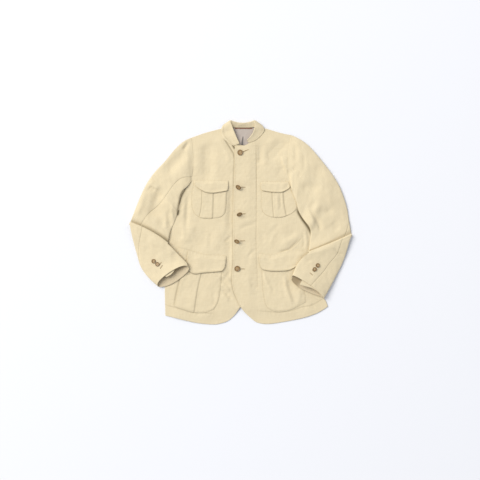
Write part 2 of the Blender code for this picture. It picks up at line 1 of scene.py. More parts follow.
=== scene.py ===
import json
import math
import bpy
import numpy as np
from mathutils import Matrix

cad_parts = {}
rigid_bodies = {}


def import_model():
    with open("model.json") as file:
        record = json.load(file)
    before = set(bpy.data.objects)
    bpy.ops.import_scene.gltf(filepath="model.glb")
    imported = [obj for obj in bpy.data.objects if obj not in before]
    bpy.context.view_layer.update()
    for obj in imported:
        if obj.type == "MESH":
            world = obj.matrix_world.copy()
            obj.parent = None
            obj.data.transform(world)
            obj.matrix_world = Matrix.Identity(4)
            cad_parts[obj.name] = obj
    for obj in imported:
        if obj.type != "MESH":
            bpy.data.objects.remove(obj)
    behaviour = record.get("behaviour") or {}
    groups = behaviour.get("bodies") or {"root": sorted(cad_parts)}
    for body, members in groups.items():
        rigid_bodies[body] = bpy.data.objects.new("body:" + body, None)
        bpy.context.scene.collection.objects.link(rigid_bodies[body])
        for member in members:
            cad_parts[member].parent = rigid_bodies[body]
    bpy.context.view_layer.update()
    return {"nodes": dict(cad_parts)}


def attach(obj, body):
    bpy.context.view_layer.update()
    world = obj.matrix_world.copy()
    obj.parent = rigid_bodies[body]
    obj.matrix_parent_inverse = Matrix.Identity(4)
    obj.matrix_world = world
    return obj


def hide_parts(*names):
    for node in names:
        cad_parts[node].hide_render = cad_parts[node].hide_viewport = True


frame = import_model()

# Linen field jacket laid flat on a pale table, front up. Tables are in millimetres, meshes in metres.
# +X is the wearer's left, +Y runs towards the collar, +Z is up from the table.
mm = 0.001
creaseEnd = 0.3  # share of a crease over which it fades at each end
rimOut = 0.45  # how far a cloth's rim bulges, in walls
print("frame:", len(frame["nodes"]), "solids")


# curves and surfaces

def smoothStep(t):  # 3t^2 - 2t^3, flat at both ends
    t = np.clip(t, 0.0, 1.0)
    return t * t * (3.0 - 2.0 * t)


def bell(t):  # a soft line, 1 in the middle
    return np.exp(-t ** 2)


def wander(run, rate, sway, slow):  # sin(rate run + sway sin(slow run)), a wave of uneven length
    return np.sin(run * rate + sway * np.sin(run * slow))


def smoothLine(points, parts=10):
    # Catmull-Rom: a cubic through every point, each span steered by the points beside it
    p = np.array(points, float)
    ends = np.vstack([2 * p[0] - p[1], p, 2 * p[-1] - p[-2]])
    t = np.linspace(0.0, 1.0, parts, endpoint=False)[:, None]
    pieces = []
    for a, b, c, d in zip(ends, ends[1:], ends[2:], ends[3:]):
        bend = (2 * a - 5 * b + 4 * c - d) * t ** 2 + (3 * b - a - 3 * c + d) * t ** 3
        pieces.append(0.5 * (2 * b + (c - a) * t + bend))
    return np.vstack(pieces + [p[-1:]])


def unit(vectors):  # scaled to length 1
    return vectors / np.maximum(np.linalg.norm(vectors, axis=-1, keepdims=True), 1e-9)


def circle(count):  # angles of evenly spaced points
    return np.linspace(0, 2 * math.pi, count, endpoint=False)


def readAt(t, known, table):  # every column of a table, read between its rows
    return np.stack([np.interp(t, known, column) for column in table.T], -1)


def lengths(line):  # running length at every point of a line
    return np.concatenate([[0.0], np.cumsum(np.linalg.norm(np.diff(line, axis=0), axis=1))])


def byLength(line):  # the line read by the share of its length
    gone = lengths(line)
    return lambda t: readAt(t * gone[-1], gone, line)


def edgeLine(*runs):  # smooth runs that meet at corners
    return byLength(np.vstack([smoothLine(run) for run in runs]))


def patch(edgeA, edgeB, low, top):
    # Coons patch: both pairs of edges blended across, less the blend of the four corners
    corners = [low(0.0), low(1.0), top(0.0), top(1.0)]

    def place(u, v):
        a, b = u[..., None], v[..., None]
        sides = (1 - a) * edgeA(v) + a * edgeB(v) + (1 - b) * low(u) + b * top(u)
        twist = (1 - b) * ((1 - a) * corners[0] + a * corners[1])
        return sides - twist - b * ((1 - a) * corners[2] + a * corners[3])
    return place


def outline(piece):  # a patch whose low and top edges run between the ends of its two sides
    a, b = piece["edgeA"], piece["edgeB"]
    low, top = [a[0], *piece["low"], b[0]], [a[-1], *piece["top"], b[-1]]
    return patch(*(edgeLine(run) for run in (a, b, low, top)))


def nearLine(x, y, path):
    # distance to a smooth line, positive on its left, and the share of its length at the nearest point
    line = smoothLine(path, 5)
    gone = lengths(line)
    best = np.full(x.shape, 1e9)
    off, share = np.zeros(x.shape), np.zeros(x.shape)
    for a, b, start, end in zip(line, line[1:], gone, gone[1:]):
        dx, dy = b - a
        t = np.clip(((x - a[0]) * dx + (y - a[1]) * dy) / (end - start) ** 2, 0.0, 1.0)
        gap = np.hypot(x - a[0] - t * dx, y - a[1] - t * dy)
        near = gap < best
        side = np.where(dx * (y - a[1]) - dy * (x - a[0]) > 0, 1.0, -1.0)
        best = np.where(near, gap, best)
        off = np.where(near, gap * side, off)
        share = np.where(near, (start + t * (end - start)) / gone[-1], share)
    return off, share, gone[-1]


def creases(x, y, rows):
    # soft ridges (+) and troughs (-): bell curves across a line, wider on one side, fading at both ends
    total = np.zeros(x.shape)
    for path, left, right, height in rows:
        off, share = nearLine(x, y, path)[:2]
        fade = smoothStep(share / creaseEnd) * smoothStep((1 - share) / creaseEnd)
        total += height * bell(off / np.where(off > 0, left, right)) * fade
    return total


sewing = {"wave": (0.55, 1.9, 0.17), "beside": 4.5, "reach": 3.5, "endFade": 6.0, "endShare": 0.2}


def seamsAndShade(x, y, rows):
    # sewn lines: a narrow trough with small puckers at both sides, and a darkening mark for the shader;
    # some rows paint shade instead: shadow in gaps, notches, creases and under edges
    drop, mark = np.zeros(x.shape), np.zeros(x.shape)
    for path, depth, width, pucker, shade in rows:
        off, share, length = nearLine(x, y, path)
        ends = sewing["endFade"] * np.minimum(share, 1 - share) + sewing["endShare"]
        line = bell(off / width) * np.minimum(1, ends)
        beside = bell((np.abs(off) - sewing["beside"]) / sewing["reach"])
        drop += pucker * wander(share * length, *sewing["wave"]) * beside - depth * line
        mark = np.maximum(mark, shade * line)
    return drop, mark


def ripples(x, y, seed, size, height, waves=14):
    # unevenness of handled cloth: plane waves of random heading and phase, 0.6 to 1.8 sizes long
    draw = np.random.default_rng(seed)
    total = np.zeros(x.shape)
    for heading, phase, stretch in draw.random((waves, 3)):
        along = x * math.cos(2 * math.pi * heading) + y * math.sin(2 * math.pi * heading)
        total += np.sin(along * 2 * math.pi / (size * (0.6 + 1.2 * stretch)) + 2 * math.pi * phase)
    return height * total / math.sqrt(waves)


# shaders

class Value:
    # a socket that takes part in sums: every operator adds one Math node
    def __init__(self, finish, socket):
        self.finish, self.socket = finish, socket

    def join(self, operation, first, second=0.0):
        return self.finish.node("ShaderNodeMath", {"operation": operation}, {0: first, 1: second})

    def __add__(self, other): return self.join("ADD", self, other)
    def __sub__(self, other): return self.join("SUBTRACT", self, other)
    def __rsub__(self, other): return self.join("SUBTRACT", other, self)
    def __mul__(self, other): return self.join("MULTIPLY", self, other)
    def sine(self): return self.join("SINE", self)
    def most(self, other): return self.join("MAXIMUM", self, other)
    __radd__, __rmul__ = __add__, __mul__


class Finish:
    # one material: node() adds a node, with its settings first and then its sockets
    def __init__(self, name):
        self.material = bpy.data.materials.new(name)
        self.material.use_nodes = True
        self.tree = self.material.node_tree
        self.shader = self.tree.nodes["Principled BSDF"]

    def node(self, kind, settings=None, sockets=None, output=0):
        made = self.tree.nodes.new(kind)
        for name, value in (settings or {}).items():
            if name == "stops":
                ramp = made.color_ramp.elements
                for _ in value[2:]:
                    ramp.new(0.5)
                for element, (place, colour) in zip(ramp, value):
                    element.position, element.color = place, colour
            else:
                setattr(made, name, value)
        self.fill(made, sockets or {})
        return Value(self, made.outputs[output])

    def fill(self, made, sockets):
        for key, value in sockets.items():
            if isinstance(value, Value):
                self.tree.links.new(value.socket, made.inputs[key])
            else:
                made.inputs[key].default_value = value

    def noise(self, where, stretch, detail=2.0, rough=0.5):  # noise on a stretched copy of the place
        spot = self.node("ShaderNodeVectorMath", {"operation": "MULTIPLY"}, {0: where, 1: stretch})
        sockets = {"Vector": spot, "Scale": 1.0, "Detail": detail, "Roughness": rough}
        return self.node("ShaderNodeTexNoise", {}, sockets)

    def blend(self, share, first, second):  # one colour towards another
        return self.node("ShaderNodeMix", {"data_type": "RGBA"}, {0: share, 6: first, 7: second}, 2)

    def ramp(self, value, low, high):  # 0 below low, 1 above high
        return self.node("ShaderNodeMapRange", {"clamp": True}, {0: value, 1: low, 2: high, 3: 0.0, 4: 1.0})

    def done(self, sockets):
        self.fill(self.shader, sockets)
        return self.material


weave = {"level": 0.6, "turn": 0.4, "threadShare": 0.6, "slubShare": 0.4, "slubRange": (0.35, 0.65),
         "cloudRange": (0.3, 0.7), "cloudStretch": 0.7, "depth": 0.0004, "slubRough": 0.12,
         "sheenRough": 0.5}


def woven(name, look):
    # plain weave on the piece's own map: two sets of threads pass over each other in turn, with slubs
    made = Finish(name)
    where = made.node("ShaderNodeUVMap", {"uv_map": "cloth"})
    across = made.node("ShaderNodeSeparateXYZ", {}, {0: where})
    along = Value(made, across.socket.node.outputs[1])
    pitch = math.pi / (look["thread"] * mm)
    warp, weft = (across * pitch).sine(), (along * pitch).sine()
    turn = warp * weft * weave["turn"]
    threads = (warp * warp * (turn + weave["level"])).most(weft * weft * (weave["level"] - turn))
    slubAcross = made.noise(where, (look["slub"][0], look["slub"][1], 1.0))
    slubAlong = made.noise(where, (look["slub"][1], look["slub"][0], 1.0))
    slub = made.ramp((slubAcross + slubAlong) * 0.5, *weave["slubRange"])
    cloudy = made.noise(where, (look["cloud"], look["cloud"] * weave["cloudStretch"], 1.0), 3.0)
    cloudy = made.ramp(cloudy, *weave["cloudRange"])
    seam = made.node("ShaderNodeAttribute", {"attribute_name": "seam"}, {}, 2)
    colour = made.blend(slub, (*look["deep"], 1.0), (*look["pale"], 1.0))
    colour = made.blend(cloudy * look["cloudShare"], colour, (*look["warm"], 1.0))
    # the seam attribute darkens the cloth towards the seam colour: along sewn lines, and as painted shade
    # in folds, gaps, pleats and under edges
    colour = made.blend(seam * look["seamShare"], colour, (*look["seam"], 1.0))
    relief = threads * weave["threadShare"] + slub * weave["slubShare"]
    bump = made.node("ShaderNodeBump", {}, {"Strength": look["bump"], "Distance": weave["depth"],
                                            "Height": relief})
    return made.done({"Base Color": colour, "Roughness": slub * weave["slubRough"] + look["rough"],
                      "Normal": bump, "Sheen Weight": look["sheen"], "Sheen Roughness": weave["sheenRough"],
                      "Specular IOR Level": look["gloss"]})


# linen's seam colour is a dark olive, used both for sewn lines and for painted shade
linen = woven("linen", {
    "thread": 0.55, "slub": (30.0, 1500.0), "cloud": 22.0, "cloudShare": 0.35, "seamShare": 1.0,
    "deep": (0.64, 0.535, 0.345), "pale": (0.76, 0.66, 0.455), "warm": (0.71, 0.595, 0.39),
    "seam": (0.15, 0.115, 0.055), "bump": 0.35, "rough": 0.78, "sheen": 0.06, "gloss": 0.25,
})
# its seam colour is painted shade, the dark inside of the back pleat
liningCloth = woven("liningCloth", {
    "thread": 0.3, "slub": (60.0, 2600.0), "cloud": 30.0, "cloudShare": 0.4, "seamShare": 0.9,
    "deep": (0.42, 0.36, 0.305), "pale": (0.51, 0.44, 0.38), "warm": (0.46, 0.40, 0.36),
    "seam": (0.08, 0.07, 0.065), "bump": 0.2, "rough": 0.5, "sheen": 0.1, "gloss": 0.5,
})
cuffLining = woven("cuffLining", {  # its hem is the jacket's own cloth
    "thread": 0.35, "slub": (50.0, 2200.0), "cloud": 30.0, "cloudShare": 0.4, "seamShare": 0.95,
    "deep": (0.33, 0.25, 0.14), "pale": (0.43, 0.335, 0.195), "warm": (0.37, 0.28, 0.16),
    "seam": (0.64, 0.53, 0.35), "bump": 0.25, "rough": 0.6, "sheen": 0.1, "gloss": 0.4,
})
brownTape = woven("brownTape", {
    "thread": 0.8, "slub": (60.0, 1800.0), "cloud": 60.0, "cloudShare": 0.3, "seamShare": 0.6,
    "deep": (0.17, 0.075, 0.04), "pale": (0.30, 0.14, 0.085), "warm": (0.24, 0.10, 0.06),
    "seam": (0.06, 0.03, 0.02), "bump": 0.4, "rough": 0.75, "sheen": 0.05, "gloss": 0.3,
})


hornLook = {
    "streak": (420.0, 130.0, 300.0), "cloud": (120.0, 120.0, 120.0), "streakShare": 0.6, "cloudShare": 0.4,
    "stops": [(0.30, (0.12, 0.065, 0.024, 1.0)), (0.46, (0.28, 0.17, 0.068, 1.0)),
              (0.58, (0.40, 0.26, 0.11, 1.0)), (0.75, (0.54, 0.40, 0.20, 1.0))],
    "rim": (0.16, 0.09, 0.035, 1.0), "rimShare": 0.8, "bump": 0.12, "depth": 0.0003,
    "rough": 0.2, "cloudRough": 0.2, "gloss": 0.5,
}


def hornFinish(look):
    # horn: brown streaks along one way on Object coordinates, paler clouds and a polished face
    made = Finish("horn")
    where = made.node("ShaderNodeTexCoord", {}, {}, 3)
    streak, cloud = made.noise(where, look["streak"], 3.0, 0.6), made.noise(where, look["cloud"], 2.0)
    mixed = streak * look["streakShare"] + cloud * look["cloudShare"]
    tone = made.node("ShaderNodeValToRGB", {"stops": look["stops"]}, {0: mixed})
    rim = made.node("ShaderNodeAttribute", {"attribute_name": "seam"}, {}, 2)
    tone = made.blend(rim * look["rimShare"], tone, look["rim"])
    bump = made.node("ShaderNodeBump", {}, {"Strength": look["bump"], "Distance": look["depth"],
                                            "Height": streak})
    return made.done({"Base Color": tone, "Roughness": cloud * look["cloudRough"] + look["rough"],
                      "Normal": bump, "Specular IOR Level": look["gloss"]})


threadLook = {"twist": (2500.0, 2500.0, 2500.0), "bump": 0.3, "depth": 0.0002, "rough": 0.6,
              "twistRough": 0.15, "sheen": 0.1}


def threadFinish(name, deep, pale):
    # sewing thread: a fine twist along Object coordinates over two close tones
    made = Finish(name)
    where = made.node("ShaderNodeTexCoord", {}, {}, 3)
    twist = made.noise(where, threadLook["twist"], 1.0)
    tone = made.blend(twist, (*deep, 1.0), (*pale, 1.0))
    bump = made.node("ShaderNodeBump", {}, {"Strength": threadLook["bump"], "Distance": threadLook["depth"],
                                            "Height": twist})
    rough = twist * threadLook["twistRough"] + threadLook["rough"]
    return made.done({"Base Color": tone, "Roughness": rough, "Normal": bump,
                      "Sheen Weight": threadLook["sheen"]})


horn = hornFinish(hornLook)
sewingThread = threadFinish("sewingThread", (0.50, 0.40, 0.24), (0.68, 0.57, 0.37))
holeThread = threadFinish("holeThread", (0.26, 0.18, 0.085), (0.42, 0.30, 0.155))
print("finishes: linen, lining, tape, horn, thread")


# meshes

def writeMesh(name, points, faces, look, maps=None, marks=None):
    mesh = bpy.data.meshes.new(name)
    mesh.vertices.add(len(points))
    mesh.vertices.foreach_set("co", (points * mm).astype(np.float32).ravel())
    mesh.loops.add(faces.size)
    mesh.loops.foreach_set("vertex_index", faces.astype(np.int32).ravel())
    mesh.polygons.add(len(faces))
    mesh.polygons.foreach_set("loop_start", np.arange(0, faces.size, faces.shape[1], dtype=np.int32))
    if maps is not None:
        layer = mesh.uv_layers.new(name="cloth")
        layer.data.foreach_set("uv", (maps[faces.ravel()] * mm).astype(np.float32).ravel())
    if marks is not None:
        seam = mesh.attributes.new("seam", "FLOAT", "POINT")
        seam.data.foreach_set("value", marks.astype(np.float32))
    mesh.update(calc_edges=True)
    mesh.validate()
    mesh.materials.append(look)
    made = bpy.data.objects.new(name, mesh)
    bpy.context.scene.collection.objects.link(made)
    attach(made, "root")
    return made


def normalsOf(grid):  # unit normal at every grid point: the two grid directions crossed
    across, along = np.gradient(grid, axis=1), np.gradient(grid, axis=0)
    return unit(np.cross(across, along))


def quads(index):  # the four-sided faces of a grid of point numbers
    return np.stack([index[:-1, :-1], index[:-1, 1:], index[1:, 1:], index[1:, :-1]], -1).reshape(-1, 4)


def clothShell(name, node, grid, wall, maps, marks, look, flip=False):
    # closed cloth: the grid, the grid one wall further in along its normals, and a round rim between
    rows, columns = grid.shape[:2]
    side = -1.0 if flip else 1.0
    thick = np.broadcast_to(np.asarray(wall, float), grid.shape[:2])[..., None]
    inward = normalsOf(grid) * -side * thick
    top, under = grid.reshape(-1, 3), (grid + inward).reshape(-1, 3)
    index = np.arange(rows * columns).reshape(rows, columns)
    loop = np.concatenate([index[0, :-1], index[:-1, -1], index[-1, :0:-1], index[:0:-1, 0]])
    row, column = np.divmod(loop, columns)
    inner = np.clip(row, 1, rows - 2) * columns + np.clip(column, 1, columns - 2)
    out = unit(top[loop] - top[inner])
    rim = (top[loop] + under[loop]) / 2 + out * thick.reshape(-1, 1)[loop] * rimOut
    low, middle = loop + rows * columns, np.arange(len(loop)) + 2 * rows * columns
    nextLoop, nextMiddle, nextLow = (np.roll(ring, -1) for ring in (loop, middle, low))
    faces = np.vstack([
        quads(index), quads(index + rows * columns)[:, ::-1],
        np.stack([loop, middle, nextMiddle, nextLoop], -1),
        np.stack([middle, low, nextLow, nextMiddle], -1)])
    if flip:
        faces = faces[:, ::-1]
    flat, mark = maps.reshape(-1, 2), marks.ravel()
    made = writeMesh(name, np.vstack([top, under, rim]), faces, look,
                     np.vstack([flat, flat, flat[loop]]), np.concatenate([mark, mark, mark[loop]]))
    if node:
        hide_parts(node)
    return made


def nodeOf(name):  # the solid that a piece stands for
    return "".join("_" + sign.lower() if sign.isupper() or sign.isdigit() else sign for sign in name)


def arcMap(grid):  # the cloth laid out: running lengths across, from the middle, and along
    across = np.cumsum(np.linalg.norm(np.diff(grid, axis=1, prepend=grid[:, :1]), axis=-1), axis=1)
    along = np.cumsum(np.linalg.norm(np.diff(grid, axis=0, prepend=grid[:1]), axis=-1).mean(1))
    across -= across[:, -1:] / 2
    return np.stack([across, np.broadcast_to(along[:, None], across.shape)], -1)


def turned(xy, degrees):  # a flat map turned to the grain of the piece
    a = math.radians(degrees)
    return xy @ np.array([[math.cos(a), math.sin(a)], [-math.sin(a), math.cos(a)]])


def gridOf(counts):
    return np.meshgrid(np.linspace(0, 1, counts[0] + 1), np.linspace(0, 1, counts[1] + 1))


# the body: back and both fronts

body = {
    "rightSide": [(-263, -325), (-265, -220), (-262, -110), (-258, 0), (-254, 94)],
    "rightUnderarm": [(-254, 94), (-222, 101), (-192, 118), (-171, 147)],
    "rightArmhole": [(-171, 147), (-166, 184), (-167, 222), (-169, 262), (-173, 296)],
    "rightShoulder": [(-173, 296), (-124, 313), (-72, 327), (-50, 332)],
    "rightNeck": [(-50, 332), (-46, 314), (-36, 294), (-16, 276), (22, 266)],
    "rightEdge": [(-16, -316), (-2, -295), (8, -274), (16, -246), (22, -190), (22, 0), (22, 266)],
    "rightHem": [(-263, -325), (-225, -334), (-180, -345), (-144, -352), (-96, -356), (-68, -352),
                 (-46, -344), (-29, -331), (-16, -316)],
    "leftSide": [(304, -293), (298, -276), (290, -262), (282, -215), (272, -150), (264, -50), (262, 95)],
    "leftUnderarm": [(262, 95), (230, 102), (200, 112), (178, 126)],
    "leftArmhole": [(178, 126), (169, 165), (166, 214), (169, 262), (177, 305)],
    "leftNeck": [(-20, 266), (8, 267), (28, 276), (42, 290), (54, 310), (62, 331)],
    "leftShoulder": [(62, 331), (87, 328), (118, 319), (146, 311), (177, 305)],
    "leftEdge": [(16, -316), (-1, -294), (-17, -260), (-27, -231), (-31, -192), (-26, -131),
                 (-27, -60), (-26, 60), (-22, 170), (-20, 266)],
    "leftHem": [(16, -316), (36, -334), (59, -350), (97, -354), (156, -346), (214, -334), (258, -320),
                (287, -305), (304, -293)],
    "backNeck": [(-50, 332), (4, 335), (62, 331)],
    "backHem": [(-263, -325), (-150, -314), (0, -284), (150, -292), (304, -293)],
    "backTop": 1.4, "backWall": 1.2, "frontWall": 0.9,
    "rest": 2.0, "full": 2.6, "cloth": 1.5,  # heights of the fronts over the back
    "rightX": -262.0, "leftX": 285.0, "sideRun": 60.0, "shoulderRun": 40.0,
    "hemOnTable": 0.5, "hemStart": 6.0, "hemRun": 45.0,
    "standRaise": 2.4, "standX": 62.0, "standStep": 38.0,
    "hemLoft": 0.5, "hemRelief": 0.4, "edgeRelief": 0.25,
    "ripples": [(3, 58.0, 0.6), (5, 21.0, 0.15)],  # seed, size, height
    "edgeShade": 0.15, "edgeWidth": 2.0, "frontGrid": (150, 280), "backGrid": (56, 66),
    "rightGrain": -2.0, "leftGrain": 2.0,
    "backCut": (0.571, 0.671, 0.289), "rightCut": (0.294, 0.700, 0.1635), "leftCut": (0.322, 0.698, 0.1697),
}
# crease rows: path, width on its left, width on its right, height
sharedFolds = [
    ([(-205, 5), (-201, -38), (-198, -80)], 12, 12, 3.0),
    ([(-178, 0), (-180, -38), (-182, -76)], 11, 11, 2.4),
    ([(138, -80), (175, -59), (212, -38)], 14, 14, 2.8),
    ([(96, -10), (133, -20), (170, -30)], 18, 18, 2.0),
]
frontFolds = {
    "right": [
        ([(-103, 290), (-120, 236), (-117, 176), (-142, 146)], 23, 20, -4.4),
        ([(-150, 290), (-148, 230), (-150, 165)], 16, 16, 1.2),
        ([(-88, 250), (-84, 200), (-92, 160)], 13, 13, 1.1),
        ([(-60, 298), (-46, 274), (-33, 254), (-23, 218)], 5, 4, -1.1),
        ([(-86, 296), (-62, 270), (-46, 236), (-40, 200)], 9, 8, 1.9),
        ([(-31, 136), (-34, 50), (-32, -40)], 8, 13, -4.6),
        ([(-184, 108), (-187, 40), (-192, -28)], 8, 7, -3.0), ([(-196, 70), (-204, 10)], 6, 6, 1.5),
        ([(-212, -12), (-205, -62)], 6, 6, -1.6), ([(-182, -36), (-158, -80)], 6, 7, -1.2),
        ([(-28, -44), (-58, -70)], 6, 6, -1.8), ([(-32, -165), (-64, -208)], 7, 7, -1.5),
        ([(-30, -226), (-55, -262)], 6, 7, -1.2),
        ([(-36, -30), (-40, -90), (-42, -162), (-38, -214)], 10, 13, -3.2),
        ([(-70, -10), (-84, -70), (-80, -100)], 15, 15, 1.0),
        ([(-120, 0), (-130, -60), (-126, -96)], 12, 12, -0.9),
        ([(-240, -196), (-236, -262)], 9, 9, 1.1),
        ([(-76, -180), (-56, -190), (-32, -206)], 5, 5, 2.8),
        ([(-78, -192), (-58, -206), (-34, -224)], 5, 4, -2.6),
        ([(-74, -214), (-54, -226), (-32, -246)], 5, 5, 2.7),
        ([(-70, -232), (-50, -246), (-26, -268)], 4, 5, -2.3),
        ([(-66, -250), (-40, -274)], 5, 5, 2.1), ([(-160, 2), (-168, -40), (-160, -84)], 9, 9, 1.4),
        ([(-100, -20), (-108, -70), (-98, -104)], 8, 8, -1.2),
        ([(-60, 30), (-56, -10), (-62, -46)], 9, 9, 1.1),
    ],
    "left": [
        ([(172, 290), (124, 252), (84, 212)], 18, 22, -6.0),
        ([(150, 200), (128, 158)], 12, 12, -2.2), ([(120, 300), (96, 272)], 12, 12, 1.1),
        ([(141, 236), (152, 202), (166, 170)], 24, 4, 5.3),
        ([(64, 282), (68, 240), (64, 196)], 14, 8, -3.4),
        ([(84, 262), (80, 190), (84, 150)], 14, 14, 1.0),
        ([(60, -2), (24, -12), (-14, -28)], 6, 7, -1.4), ([(56, 10), (20, 4), (-10, -10)], 8, 8, 1.1),
        ([(56, -90), (22, -122)], 6, 6, -1.8), ([(28, -112), (26, -156)], 8, 8, -1.2),
        ([(32, -214), (64, -232)], 6, 6, -1.1), ([(140, -2), (98, -40)], 9, 9, -1.4),
        ([(120, -104), (168, -93), (214, -52)], 5, 2.5, -2.6),
        ([(230, -12), (239, -60), (237, -104)], 8, 6, -3.0),
        ([(214, -24), (221, -62), (217, -98)], 5, 5, -1.7),
        ([(208, 36), (222, 8), (240, -12)], 4, 4, -3.1), ([(196, -30), (150, -62)], 10, 10, -1.4),
        ([(70, -30), (84, -74)], 9, 9, -1.3), ([(118, -30), (104, -86)], 8, 8, 1.2),
        ([(20, -180), (34, -250)], 10, 10, 1.0), ([(50, 120), (20, 128), (0, 118)], 8, 8, -0.8),
        ([(46, 60), (10, 74)], 8, 8, -0.7), ([(246, -284), (262, -300)], 7, 7, -1.4),
    ],
}
# rows of sewn lines and painted shade: path, depth, width, pucker, shade
frontSeamsAndShade = {
    "right": [
        ([(-96, -317), (-124, -316), (-164, -315), (-209, -302), (-237, -295),
          (-266, -286)], 0.6, 2.0, 0.25, 0.22),
        ([(-226, -86), (-204, -90), (-183, -95), (-160, -106), (-122, -116)], 0.5, 1.9, 0.2, 0.14),
        ([(-182, -97), (-189, -122)], 0.5, 1.9, 0.1, 0.14),
        ([(-188, -126), (-200, -152), (-215, -200), (-227, -250), (-235, -292)], 0.4, 2.4, 0.0, 0.36),
        # painted shadow where the left front lies on it
        ([(-21, 262), (-24, 190), (-27, 60), (-28, -60), (-27, -131), (-32, -192), (-28, -231),
          (-18, -260), (-2, -294), (14, -314)], 0.7, 2.6, 0.1, 0.24),
        # painted shade in the notch under the collar's end and along the lapel fold
        ([(-29, 272), (-25, 265), (-21, 257)], 0.3, 4.0, 0.0, 0.9),
        ([(-60, 296), (-46, 274), (-33, 254), (-25.5, 240), (-23, 220)], 0.3, 2.6, 0.0, 0.55),
        # shade by the sleeve
        ([(-191, 118), (-204, 98), (-211.5, 76), (-215.5, 60)], 0.3, 2.2, 0.0, 0.9),
        ([(-217, 44), (-219, 34), (-221, 24)], 0.3, 3.6, 0.0, 0.95),
    ],
    "left": [
        ([(54, 272), (55.6, 149), (55, 44), (54, -78), (57, -148), (59, -236)], 0.7, 2.0, 0.3, 0.1),
        ([(56, -308), (106, -312), (135, -314), (179, -307), (214, -295), (252, -287),
          (296, -260)], 0.6, 2.0, 0.3, 0.2),
        # painted shade along a thin crease
        ([(132, -104), (168, -93), (192, -76), (214, -52)], 0.6, 2.0, 0.0, 0.28),
        # painted shadow on the front under the left sleeve's inner edge
        ([(195, 52), (203, 32), (214, 13), (226, -3), (241, -26), (246, -46)], 0.6, 5.0, 0.0, 1.0),
        # the stand's seam is plainest at the top
        ([(54.2, 268), (55.4, 170), (55.4, 60)], 0.3, 2.2, 0.0, 0.16),
    ],
}


def frontTop(x, y, side):
    # upper face of a front: it rests on the back, is low at the sides, the shoulders and the hem,
    # and carries its folds and sewn lines, with their darkening marks and painted shade
    edges = smoothStep((x - body["rightX"]) / body["sideRun"])
    edges = edges * smoothStep((body["leftX"] - x) / body["sideRun"])
    ends = np.array([body[name][end] for name in ("rightShoulder", "leftShoulder") for end in (0, -1)])
    full = edges * smoothStep((np.interp(x, *ends.T) - y) / body["shoulderRun"])
    relief = creases(x, y, sharedFolds + frontFolds[side])
    for row in body["ripples"]:
        relief += ripples(x, y, *row)
    drop, mark = seamsAndShade(x, y, frontSeamsAndShade[side])
    height = body["rest"] + body["full"] * full
    height += (relief + drop) * (body["edgeRelief"] + (1 - body["edgeRelief"]) * full)
    hem = smoothLine(body["backHem"])
    fall = smoothStep((np.interp(x, *hem.T) - body["hemStart"] - y) / body["hemRun"])
    wavy = body["hemOnTable"] + body["hemLoft"] + body["hemRelief"] * relief + drop
    height += (np.maximum(wavy, body["hemOnTable"]) - height) * fall
    if side == "left":
        height += body["standRaise"] * smoothStep((body["standX"] - x) / body["standStep"])
    return np.maximum(height, body["hemOnTable"]) + body["cloth"], mark


def makeFront(side, spread):
    u, v = gridOf(body["frontGrid"])
    xy = spread(u, v)
    height, mark = frontTop(xy[..., 0], xy[..., 1], side)
    cut = body[side + "Cut"]
    if side == "left":  # its turned edge is darkened as a fine line: the edge's own seam and painted shade of the gap at the edge
        mark = np.maximum(mark, body["edgeShade"] * bell(u * cut[0] / mm / body["edgeWidth"]))
    made = clothShell("front" + side.title() + "Cloth", "front_" + side, np.dstack([xy, height]),
                      body["frontWall"], turned(xy, body[side + "Grain"]), mark, linen)


rightSide = edgeLine(body["rightSide"], body["rightUnderarm"], body["rightArmhole"])
leftSide = edgeLine(body["leftSide"], body["leftUnderarm"], body["leftArmhole"])
shoulders = edgeLine(body["rightShoulder"], body["backNeck"], body["leftShoulder"])
backSpread = patch(rightSide, leftSide, edgeLine(body["backHem"]), shoulders)
rightSpread = patch(rightSide, edgeLine(body["rightEdge"]), edgeLine(body["rightHem"]),
                    edgeLine(body["rightShoulder"], body["rightNeck"]))
leftSpread = patch(edgeLine(body["leftEdge"]), leftSide, edgeLine(body["leftHem"]),
                   edgeLine(body["leftNeck"], body["leftShoulder"]))

backXy = backSpread(*gridOf(body["backGrid"]))
plain = np.zeros(backXy.shape[:2])
backCloth = clothShell("backCloth", "back", np.dstack([backXy, plain + body["backTop"]]), body["backWall"],
                       backXy, plain, linen)
makeFront("right", rightSpread)
makeFront("left", leftSpread)
print("body: back and two fronts")


# lining and tape in the neck

neck = {
    "lining": {"edgeA": [(-40, 240), (-50, 290), (-41, 333.5)],
               "edgeB": [(50, 240), (66, 290), (53, 333.5)], "low": [], "top": []},
    "tape": {"edgeA": [(-20, 328.0), (-20, 330.6)], "edgeB": [(40, 328.0), (40, 330.6)],
             "low": [], "top": []},
    "liningTop": 2.9, "liningWall": 0.7, "tapeTop": 4.5, "tapeWall": 0.6,
    "pleat": [(8.5, 304), (7.5, 292), (6, 276), (5, 246)],
    "pleatMouth": 3.8, "mouthStart": 0.35, "mouthSpread": 1.6, "mouthFade": 0.12,  # painted shade in the pleat's mouth, wider lower down
    "pleatDepth": 0.6, "ripple": (9, 26.0, 0.12),
    "pleatRidge": [([(13.5, 304), (11.5, 284), (9.5, 262), (8, 244)], 2.5, 2.5, 0.8)],
    "liningGrid": (110, 70), "tapeGrid": (60, 6),
    "liningCut": (0.115, 0.091, 0.0095), "tapeCut": (0.06, 0.010, 0.0002),
}


